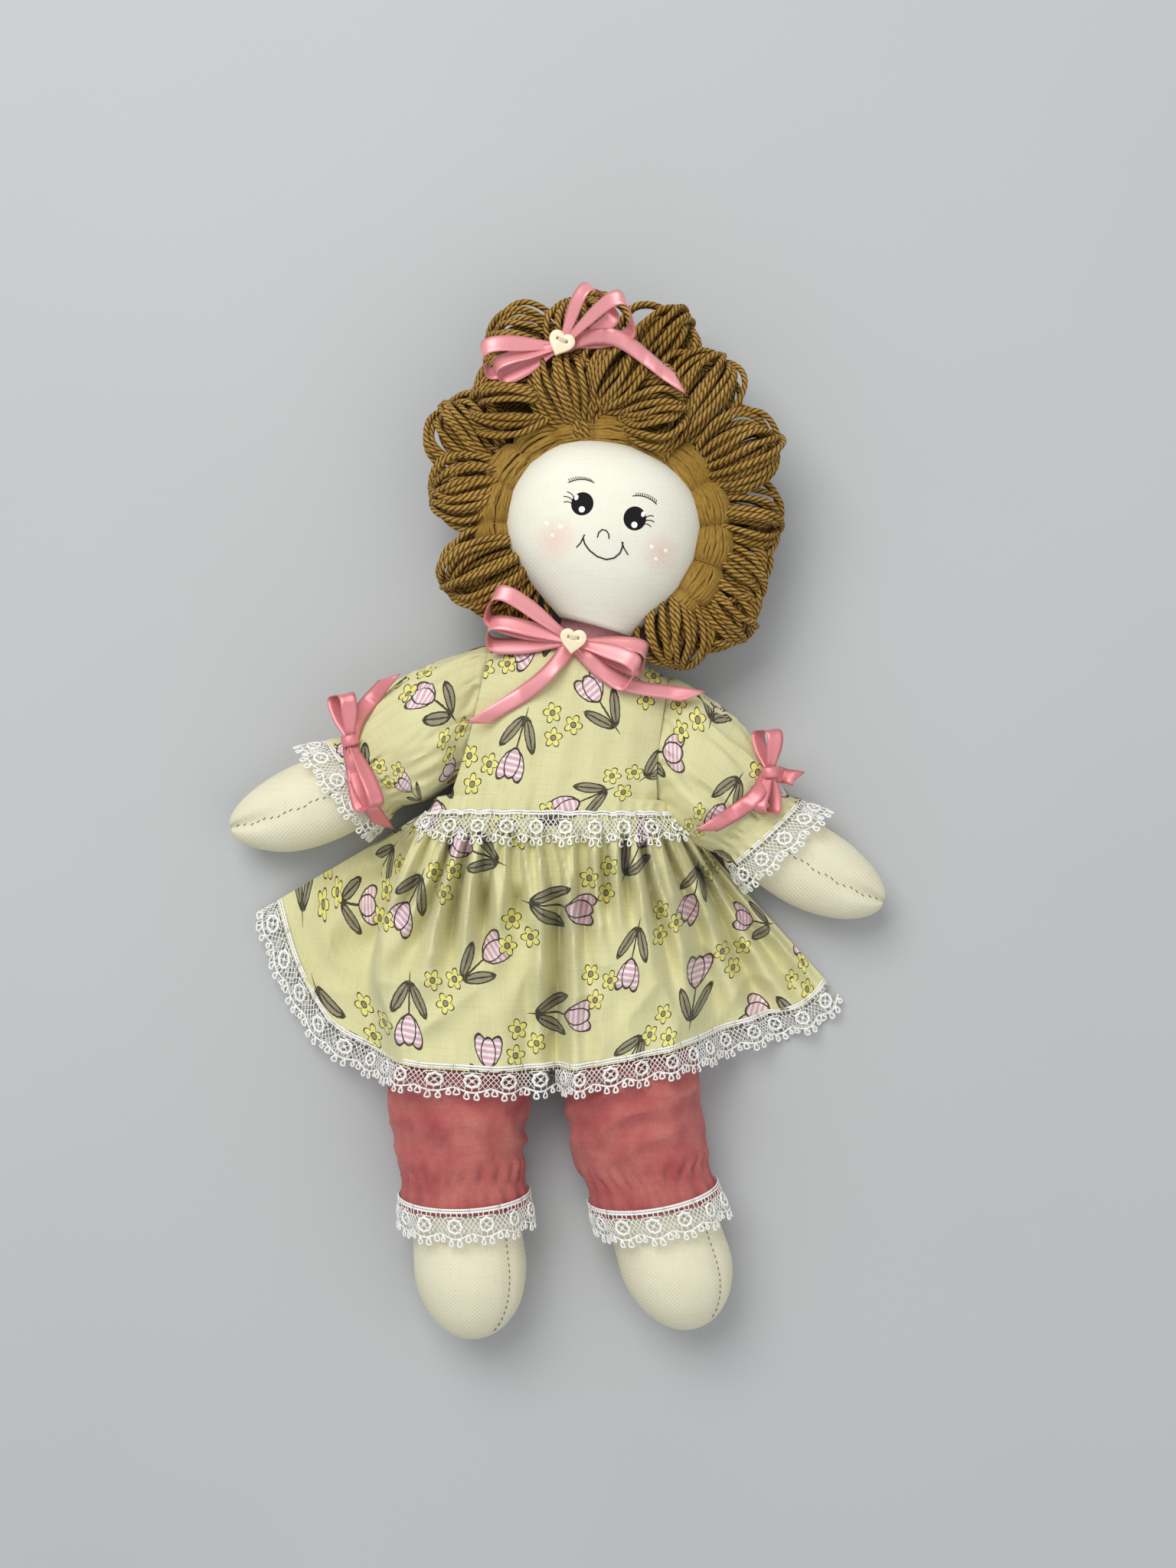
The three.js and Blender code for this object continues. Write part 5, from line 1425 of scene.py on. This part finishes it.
def sleeve_row(side, t):
    """A row of the sleeve from the armhole (0) to the gathered cuff (1)."""
    columns = SLEEVE_COLUMNS
    angles = around(columns)
    holes = [armhole_point(side, angle) for angle in angles]
    cuffs = [cuff_point(side, angle, CUFF_START, CUFF_REACH) for angle in angles]
    hole = sum(holes, Vector()) / columns
    middle = (cuffs[0] + cuffs[columns // 2]) / 2
    end = abs(cuffs[columns // 4].z - cuffs[3 * columns // 4].z) / 2
    row = []
    for j, angle in enumerate(angles):
        p = holes[j].lerp(cuffs[j], t)
        out = p - hole.lerp(middle, t)
        out.z = 0
        puff = SLEEVE_PUFF * sin(pi * t) ** 0.7 if 0 < t < 1 else 0
        folds = (1 + cos(9 * angle + 1.5 * sin(3 * t))) * sin(pi * min(t + 0.15, 1))
        fine = 3.4 * (abs(cos(11 * angle + 3 * wobble(angle * 3, t * 3, 0, 1))) - 0.6)
        fine *= bell((t - 1) / 0.14) + 0.9 * bell((t - 0.07) / 0.09)
        c, s = cos(angle), sin(angle)
        middle_share = sin(pi * t)
        crush = 2.0 * wobble(c * 3, t * 2.4, s * 3, 1, SIDES[side] * 5) * middle_share
        crease = 1.1 * (1 - 4 * abs(wobble(c * 4, t * 2, s * 4, 1, SIDES[side] * 9))) * middle_share
        spread = 1.0 if c > 0 else 0.3
        if out.length > 1e-6:
            p += out.normalized() * ((puff + folds + crush + crease) * abs(c) * spread)
        full = mix(ARMHOLE_DEEP, SLEEVE_FULL - folds, smooth(t / 0.3))
        deep = mix(full, end, smooth((t - 0.55) / 0.45))
        level = mix(MID, 20, smooth((t - 0.4) / 0.6))
        p.z = max(level + (deep + folds * middle_share + fine + crush + crease) * s, 0.5)
        row.append(p)
    return row


def sleeve_piece(name, side, shares, frill):
    """A part of the sleeve: the top with its seam allowance, or the rest with its frill."""
    rows = [sleeve_row(side, t) for t in shares]
    downs = [t * SLEEVE_LONG for t in shares]
    if frill:
        for k in range(1, 9):
            flare = CUFF_REACH + 0.8 * smooth((k - 3) / 5)
            rows.append([cuff_point(side, angle, CUFF_START + FRILL_LONG * k / 8,
                                    flare + 0.8 * cos(22 * angle) * smooth(abs(k - 3) / 4))
                         for angle in around(SLEEVE_COLUMNS)])
            downs.append(SLEEVE_LONG + k)
    else:
        # The seam allowance, inside the bodice's edge
        tucked = [[armhole_point(side, angle, -inward, 1.5, under) for angle in around(SLEEVE_COLUMNS)]
                  for inward, under in ((3.0, 1.6), (1.0, 1.2))]
        rows = tucked + rows
        downs = [-3.0, -1.0] + downs
    cut = [[((j / SLEEVE_COLUMNS * SLEEVE_CUT + SIDES[side] * SLEEVE_ON_CLOTH) * MM, -down * MM)
            for j in range(SLEEVE_COLUMNS)] for down in downs]
    return cloth_sheet(name, rows, cut, print_cotton, closed=True)


for side, sign in SIDES.items():
    upper = sleeve_piece(f"sleeve_{side}_top_cloth", side, [SLEEVE_SPLIT * i / 12 for i in range(13)], False)
    lower = sleeve_piece(f"sleeve_{side}_cloth", side, [mix(SLEEVE_SPLIT, 0.985, i / 26) for i in range(27)], True)
    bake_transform(upper)
    degrees, near, far = SLEEVE_BEND[side]
    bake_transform(lower)
    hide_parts("sleeve_" + side, "sleeve_elastic_" + side)
    limbs["sleeve_" + side] = lower

# Guipure lace: stitched threads with a double heading cord, a diagonal net, a flower and a scalloped edge
# of picots in every repeat. A band is laid on any surface that gives a point for a place along and down it.
FINE, NET, STEM, RING, EDGE, PICOT, HEADING, FLOWER = 0.22, 0.24, 0.24, 0.42, 0.44, 0.46, 0.5, 0.72


def lace_unit():
    """Threads of one repeat, as (radius, points), each point along the band and down from its heading."""
    threads = []
    for down in (0.5, 1.6):
        threads.append((HEADING, [(x * LACE_REPEAT / 6, down) for x in range(7)]))
    for k in range(6):
        x = (k + 0.5) * LACE_REPEAT / 6
        threads.append((NET, [(x, 1.6), (x + (0.3 if k % 2 else -0.3), 3.8)]))
    middle, level = LACE_REPEAT / 2, 7.3

    def circle(x, down, radius, count, lobes=0.0):
        reaches = [(turn, radius + lobes * cos(8 * turn)) for turn in around(count) + [tau]]
        return [(x + reach * cos(turn), down + reach * sin(turn)) for turn, reach in reaches]

    for k in range(4):
        for lean in (1, -1):
            x = (k + 0.5) * 1.9 - 3.8
            threads.append((FINE, [(x, 3.8), (x + lean * 1.9, 6.4), (x, 9.0), (x + lean * 0.9, 10.6)]))
    threads.append((NET, [(2.4, 3.8), (middle, 3.5), (LACE_REPEAT - 2.4, 3.8)]))
    threads.append((FLOWER, circle(middle, level, 2.75, 24, lobes=0.3)))
    threads.append((RING, circle(middle, level, 0.45, 7)))
    for k in range(4):
        turn = tau * (k + 0.5) / 4
        threads.append((FINE, [(middle + reach * cos(turn), level + reach * sin(turn))
                               for reach in (0.6, 2.3)]))

    def edge(x):
        return 10.4 + 2.1 * sin(pi * clamp(x / LACE_REPEAT)) ** 1.3

    threads.append((EDGE, [(LACE_REPEAT * i / 12, edge(LACE_REPEAT * i / 12)) for i in range(13)]))
    for x in (middle - 2.4, middle, middle + 2.4):
        threads.append((STEM, [(x, level + 2.6), (x, edge(x))]))
    for k in range(4):
        x = LACE_REPEAT * (k + 0.5) / 4
        long = 3.3 if k in (1, 2) else 2.8
        lean = (x - middle) * 0.12
        loop = [(x + lean * t + 1.05 * sin(tau * t) * (0.5 + 0.5 * sin(pi * t)),
                 edge(x) + long * sin(pi * t)) for t in (i / 9 for i in range(10))]
        threads.append((PICOT, loop))
    return threads


LACE_UNIT = lace_unit()


def lace_band(name, repeats, place):
    """Lace of so many repeats. place(share, down) gives the point at a share of its length and millimetres
    down from its heading."""
    band = Threads()
    for number in range(repeats):
        for radius, points in LACE_UNIT:
            path = [place((number * LACE_REPEAT + x) / (repeats * LACE_REPEAT), down) for x, down in points]
            band.lay(path, radius, 4, flat=0.75)
    piece = band.piece(name, lace_cotton)
    return piece


def cross_of(reach):
    """A place and its four neighbours at this reach, at which a thing that lies on the cloth is held up."""
    return ((0, 0), (reach, 0), (-reach, 0), (0, reach), (0, -reach))


def evenly(points):
    """A function from a share of the length of a line through these points to its place among them."""
    lengths = [0.0]
    for a, b in zip(points, points[1:]):
        lengths.append(lengths[-1] + (b - a).length)
    table = [(length / lengths[-1], i / (len(points) - 1)) for i, length in enumerate(lengths)]
    return lambda share: straight(table, clamp(share))


HEADING_SEWN = 2.6  # how much of the lace's heading lies on the cloth


def hem_lace_place(low, high, front):
    """Places for the lace along a stretch of the hem."""
    spaced = evenly([skirt_point(mix(low, high, i / 80), 1, front) for i in range(81)])

    def place(share, down):
        u = mix(low, high, spaced(share))
        edge = skirt_point(u, 1, front)
        out = edge - skirt_point(u, 0.97, front)
        out.z = 0
        out.normalize()
        p = edge + out * (down * 0.96 - HEADING_SEWN)
        ruffle = 0.8 * sin(tau * u * 11) * smooth(down / 12)
        if front:
            slope = 0.3 if over_legs(edge.x, edge.y) > 8 else 0.1
            p.z = max(edge.z + 0.5 - slope * down + ruffle, over_legs(p.x, p.y) + 1.3, 1.3)
        else:
            p.z = 0.6 + 0.3 * (1 - smooth(down / 6))
        return p

    return place


lace_left = lace_band("hem_lace_front_left", 12, hem_lace_place(0.0, 1.0, True))
lace_right = lace_band("hem_lace_front_right", 12, hem_lace_place(-1.0, 0.0, True))
for side, band in (("left", lace_left), ("right", lace_right)):
    follow_leg(band, side)
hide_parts("hem_lace_front")
lace_back = lace_band("hem_lace_back_threads", 24, hem_lace_place(-1.0, 1.0, False))
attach(lace_back, "torso")
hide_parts("hem_lace_back")

WAIST_LACE_END = 0.93  # share of the waist to which its lace reaches on both sides
waist_spaced = evenly([skirt_point(mix(-WAIST_LACE_END, WAIST_LACE_END, i / 80), 0) for i in range(81)])
over_skirt = surface_below(skirt_left, skirt_right, bodice)


def waist_lace_place(share, down):
    """Places for the lace over the waist seam, its heading up on the bodice."""
    u = mix(-WAIST_LACE_END, WAIST_LACE_END, waist_spaced(share))
    start, ahead = skirt_point(u, 0.04), skirt_point(u, 0.25)
    ahead.x = mix(start.x, ahead.x, 0.75)
    p = start.lerp(ahead, (down * 0.97 - 6.0) / (ahead - start).length)
    p.z = max(over_skirt(p.x + dx, p.y + dy, start.z - 3) for dx, dy in cross_of(0.8))
    p.z += 0.45 + 0.5 * smooth(down / 12)
    return p


waist_lace = lace_band("waist_lace_threads", 10, waist_lace_place)
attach(waist_lace, "torso")
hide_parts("waist_lace")

for side in SIDES:
    def sleeve_lace_place(share, down, side=side):
        angle = tau * share
        ruffle = 0.9 * sin(10 * angle) * smooth(down / 10)
        return cuff_point(side, angle, CUFF + 4.2 + down * 0.93, CUFF_WALL + 0.5 + down * 0.22 + ruffle)

    band = lace_band(f"sleeve_lace_{side}_threads", 11, sleeve_lace_place)
    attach(band, "arm_" + side)
    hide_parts("sleeve_lace_" + side)
    limbs["sleeve_lace_" + side] = band

    def bloomers_lace_place(share, down, side=side):
        angle = tau * share
        s = GATHER[side] + 8.0 + down + 3.5 * max(sin(angle), 0)
        wide, deep = leg_size(side, GATHER[side] + 10 + 0.4 * down)
        ruffle = 0.9 * sin(9 * angle) * smooth(down / 10)
        x = (wide + CUFF_WALL + 1.7 + down * 0.05 + ruffle) * cos(angle)
        z = (deep + CUFF_WALL + 1.7 + down * 0.04 + ruffle) * sin(angle)
        return on_leg(side, x, s, max(leg_height(side, s) + z, 0.6))

    band = lace_band(f"bloomers_lace_{side}_threads", 13, bloomers_lace_place)
    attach(band, "leg_" + side)
    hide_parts("bloomers_lace_" + side)


# Satin ribbon bows with tails cut at a slant
class Ribbon(Threads):
    """Strips of ribbon gathered in one mesh, each through points with the direction of its width."""

    def lay(self, path, wides, width=RIBBON, columns=5, slant=(0.0, 0.0), crown=0.35):
        start = len(self.points)
        length = 0.0
        count = len(path)
        for i, (p, wide) in enumerate(zip(path, wides)):
            if i:
                length += (p - path[i - 1]).length
            ahead = (path[min(i + 1, count - 1)] - path[max(i - 1, 0)]).normalized()
            normal = ahead.cross(wide).normalized()
            shear = slant[0] * (1 - smooth(i / 3)) + slant[1] * (1 - smooth((count - 1 - i) / 3))
            for j in range(columns):
                off = j / (columns - 1) - 0.5
                slip = shear * off * width
                self.points.append(p + wide * (width * off) + normal * (crown * (1 - 4 * off * off)) + ahead * slip)
                self.along.append(((length + slip) * MM, j / (columns - 1)))
        self.faces += ring_faces(count, columns, False, start)

    def piece(self, name, material):
        obj = make(name, self.points, self.faces, material, self.along, outward=False)
        thicken(obj, 0.3, 0)
        return obj


LOOP_TILT = radians(43)
BOW_SINKS = 6  # how far the ends of a bow may hang below its middle
TAIL_STEPS, LOOP_STEPS = 30, 48


def bow(centre, ground, tails, loops):
    """A bow that rests on the pieces under it. tails and loops are (degrees, reach, openness) in turn."""
    ribbon = Ribbon()
    x0, y0 = centre
    base = max(ground(x0 + dx, y0 + dy) for dx in (-3, 0, 3) for dy in (-3, 0, 3))

    def resting(x, y):
        return max(ground(x + dx, y + dy, base - BOW_SINKS) for dx, dy in cross_of(RIBBON * 0.45))

    for number, (degrees, reach, bend) in enumerate(tails):
        out = towards(radians(degrees))
        flat = left_of(out)
        path, wides, heights = [], [], []
        for i in range(TAIL_STEPS + 1):
            t = i / TAIL_STEPS
            q = Vector((x0, y0, 0)) + out * (reach * t) + flat * (bend * reach * sin(pi * t * 1.3))
            heights.append((q, resting(q.x, q.y)))
        for i, (q, _) in enumerate(heights):
            t = i / TAIL_STEPS
            near = [h for _, h in heights[max(i - 2, 0):i + 3]]
            twist = 0.5 * sin(4.6 * t + 1.2 * number + 0.4) * smooth(t * 4)
            level = max(near) * 0.6 + sum(near) / len(near) * 0.4
            curl = (1 + sin(7 * t + number)) * smooth(t * 3)
            q.z = level + 0.7 + curl + abs(sin(twist)) * RIBBON / 2
            path.append(q)
            wides.append(flat * cos(twist) + AXIS_Z * sin(twist))
        ribbon.lay(path, wides, slant=(0.0, 1.1 if number else -1.1))
    level = 2.2
    for number, (degrees, reach, opening) in enumerate(loops):
        out = towards(radians(degrees))
        flat = left_of(out) * (1 if out.x < 0 else -1)
        normal = -flat * sin(LOOP_TILT) + AXIS_Z * cos(LOOP_TILT)
        wide = out.cross(AXIS_Z * cos(0.4) - flat * sin(0.4)).normalized()

        def loop_path(climb):
            path = []
            for i in range(LOOP_STEPS + 1):
                t = i / LOOP_STEPS
                arch = sin(pi * t)
                ahead = reach * (1 - (1 - arch) ** 1.7)
                apart = opening * sin(tau * t) * (1.2 - 0.35 * arch)
                p = Vector((x0, y0, 0)) + out * ahead + normal * apart
                p.z = base + level + opening * 0.45 * smooth(arch * 1.5) + climb * ahead + normal.z * apart
                path.append(p)
            return path

        climb = -0.25
        while climb < 1.0 and min(p.z - ground(p.x, p.y) for p in loop_path(climb)[6:-6]) < 1.0:
            climb += 0.05
        path, wides = loop_path(climb), []
        for i in range(LOOP_STEPS + 1):
            t = i / LOOP_STEPS
            lean = 0.22 * sin(tau * t + number)
            wides.append((wide + normal * lean).normalized() * (0.5 + 0.5 * smooth(min(t, 1 - t) * 8)))
        ribbon.lay(path, wides)
        level += 0.8
    return ribbon, base + level + 0.6


def knot(ribbon, centre, top, degrees):
    """A turn of ribbon round the middle of a bow."""
    wide = towards(radians(degrees))
    flat = left_of(wide)
    path = [Vector((*centre, top - 1.6)) + flat * (3.1 * cos(angle)) + AXIS_Z * (2.3 * sin(angle))
            for angle in around(24) + [tau]]
    ribbon.lay(path, [wide] * len(path), width=5.0, crown=0.5)


BUTTON_WIDE, BUTTON_THICK, BUTTON_RIM, HOLE, HOLES_UP, BUTTON_THREAD = 11.0, 2.2, 0.6, 1.25, 1.2, 0.28


def heart_button(name, centre, height, turn_degrees):
    """A heart-shaped button with two holes, its rim rounded."""
    curve = bpy.data.curves.new(name, "CURVE")
    curve.dimensions = "2D"
    curve.fill_mode = "BOTH"
    w = BUTTON_WIDE / 2 - BUTTON_RIM
    shape = [((0, -w), (-w * 0.35, -w * 0.6), (w * 0.35, -w * 0.6)),
             ((w, w * 0.3), (w, -w * 0.2), (w, w * 0.85)),
             ((0, w * 0.5), (w * 0.25, w * 1.05), (-w * 0.25, w * 1.05)),
             ((-w, w * 0.3), (-w, w * 0.85), (-w, -w * 0.2))]
    spline = curve.splines.new("BEZIER")
    spline.bezier_points.add(3)
    for point, (at, left, right) in zip(spline.bezier_points, shape):
        point.handle_left_type = point.handle_right_type = "FREE"
        point.co = (*[c * MM for c in at], 0)
        point.handle_left = (*[c * MM for c in left], 0)
        point.handle_right = (*[c * MM for c in right], 0)
    spline.use_cyclic_u = True
    spline.resolution_u = 14
    for x in (-BUTTON_WIDE / 6, BUTTON_WIDE / 6):
        hole = curve.splines.new("BEZIER")
        hole.bezier_points.add(3)
        for point, angle in zip(hole.bezier_points, around(4)):
            point.handle_left_type = point.handle_right_type = "AUTO"
            point.co = ((x + HOLE * cos(angle)) * MM, (HOLES_UP + HOLE * sin(angle)) * MM, 0)
        hole.use_cyclic_u = True
        hole.resolution_u = 6
    curve.extrude = (BUTTON_THICK / 2 - BUTTON_RIM) * MM
    curve.bevel_depth = BUTTON_RIM * MM
    curve.bevel_resolution = 3
    pick(add_to_scene(name, curve))
    bpy.ops.object.convert(target="MESH")
    obj = bpy.context.active_object
    obj.data.transform(Matrix.Translation(to_frame((*centre, height + BUTTON_THICK / 2)))
                       @ Matrix.Rotation(radians(turn_degrees), 4, "Z"))
    rework(obj.data, weld, face_outward)
    dress(obj.data, button_cream)
    thread = Threads()
    turned = Matrix.Rotation(radians(turn_degrees), 3, "Z")
    for k in range(3):
        path = []
        for i in range(9):
            t = i / 8
            p = turned @ Vector((mix(-BUTTON_WIDE / 6, BUTTON_WIDE / 6, t), HOLES_UP + (k - 1) * 0.55, 0))
            arch = 1.3 * sin(pi * t) ** 0.5
            path.append(Vector((centre[0] + p.x, centre[1] + p.y, height + BUTTON_THICK - 0.9 + arch)))
        thread.lay(path, BUTTON_THREAD, 5)
    return obj, thread.piece(name + "_thread", calico)


NECK_BOW, HEAD_BOW = (9.4, 79.0), (4.5, 200.5)
ground = surface_below(bodice, collar, head, *hair_pieces)
ribbon, top = bow(NECK_BOW, ground, [(223, 52, 0.05), (-29, 55, -0.1)],
                  [(156, 38, 9.5), (-14, 31, 7.0), (174, 36, 7.0), (-31, 29, 8.0)])
neck_bow = ribbon.piece("neck_bow_ribbon", pink_satin)
neck_button, neck_thread = heart_button("neck_heart_button", NECK_BOW, top + 1.8, -8)
for piece in (neck_bow, neck_button, neck_thread):
    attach(piece, "torso")
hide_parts("neck_bow")
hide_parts("neck_button")

ground = surface_below(head, hair_roll, *hair_pieces)
ribbon, top = bow(HEAD_BOW, ground, [(-13, 51, 0.12)],
                  [(49, 27, 11.0), (191, 33, 7.5), (20, 30, 10.0), (202, 29, 4.5)])
head_bow = ribbon.piece("head_bow_ribbon", pink_satin)
head_button, head_thread = heart_button("head_heart_button", HEAD_BOW, top + 1.8, -24)
for piece in (head_bow, head_button, head_thread):
    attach(piece, "head")
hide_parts("head_bow")
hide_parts("head_button")

for side, centre, tails, loops in (
    ("left", (92.0, 24.7), [(225, 36, 0.06), (-12, 12, 0.0)], [(95, 18, 5.0), (-98, 17, 5.5)]),
    ("right", (-84.2, 38.0), [(62, 31, 0.06), (-72, 38, -0.05)], [(103, 20, 5.0), (-72, 30, 6.0)]),
):
    ground = surface_below(limbs["sleeve_" + side], limbs["sleeve_lace_" + side], limbs["arm_" + side])
    ribbon, top = bow(centre, ground, tails, loops)
    knot(ribbon, centre, top, loops[0][0])
    piece = ribbon.piece(f"sleeve_bow_{side}_ribbon", coral_satin)
    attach(piece, "arm_" + side)
    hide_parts("sleeve_bow_" + side)
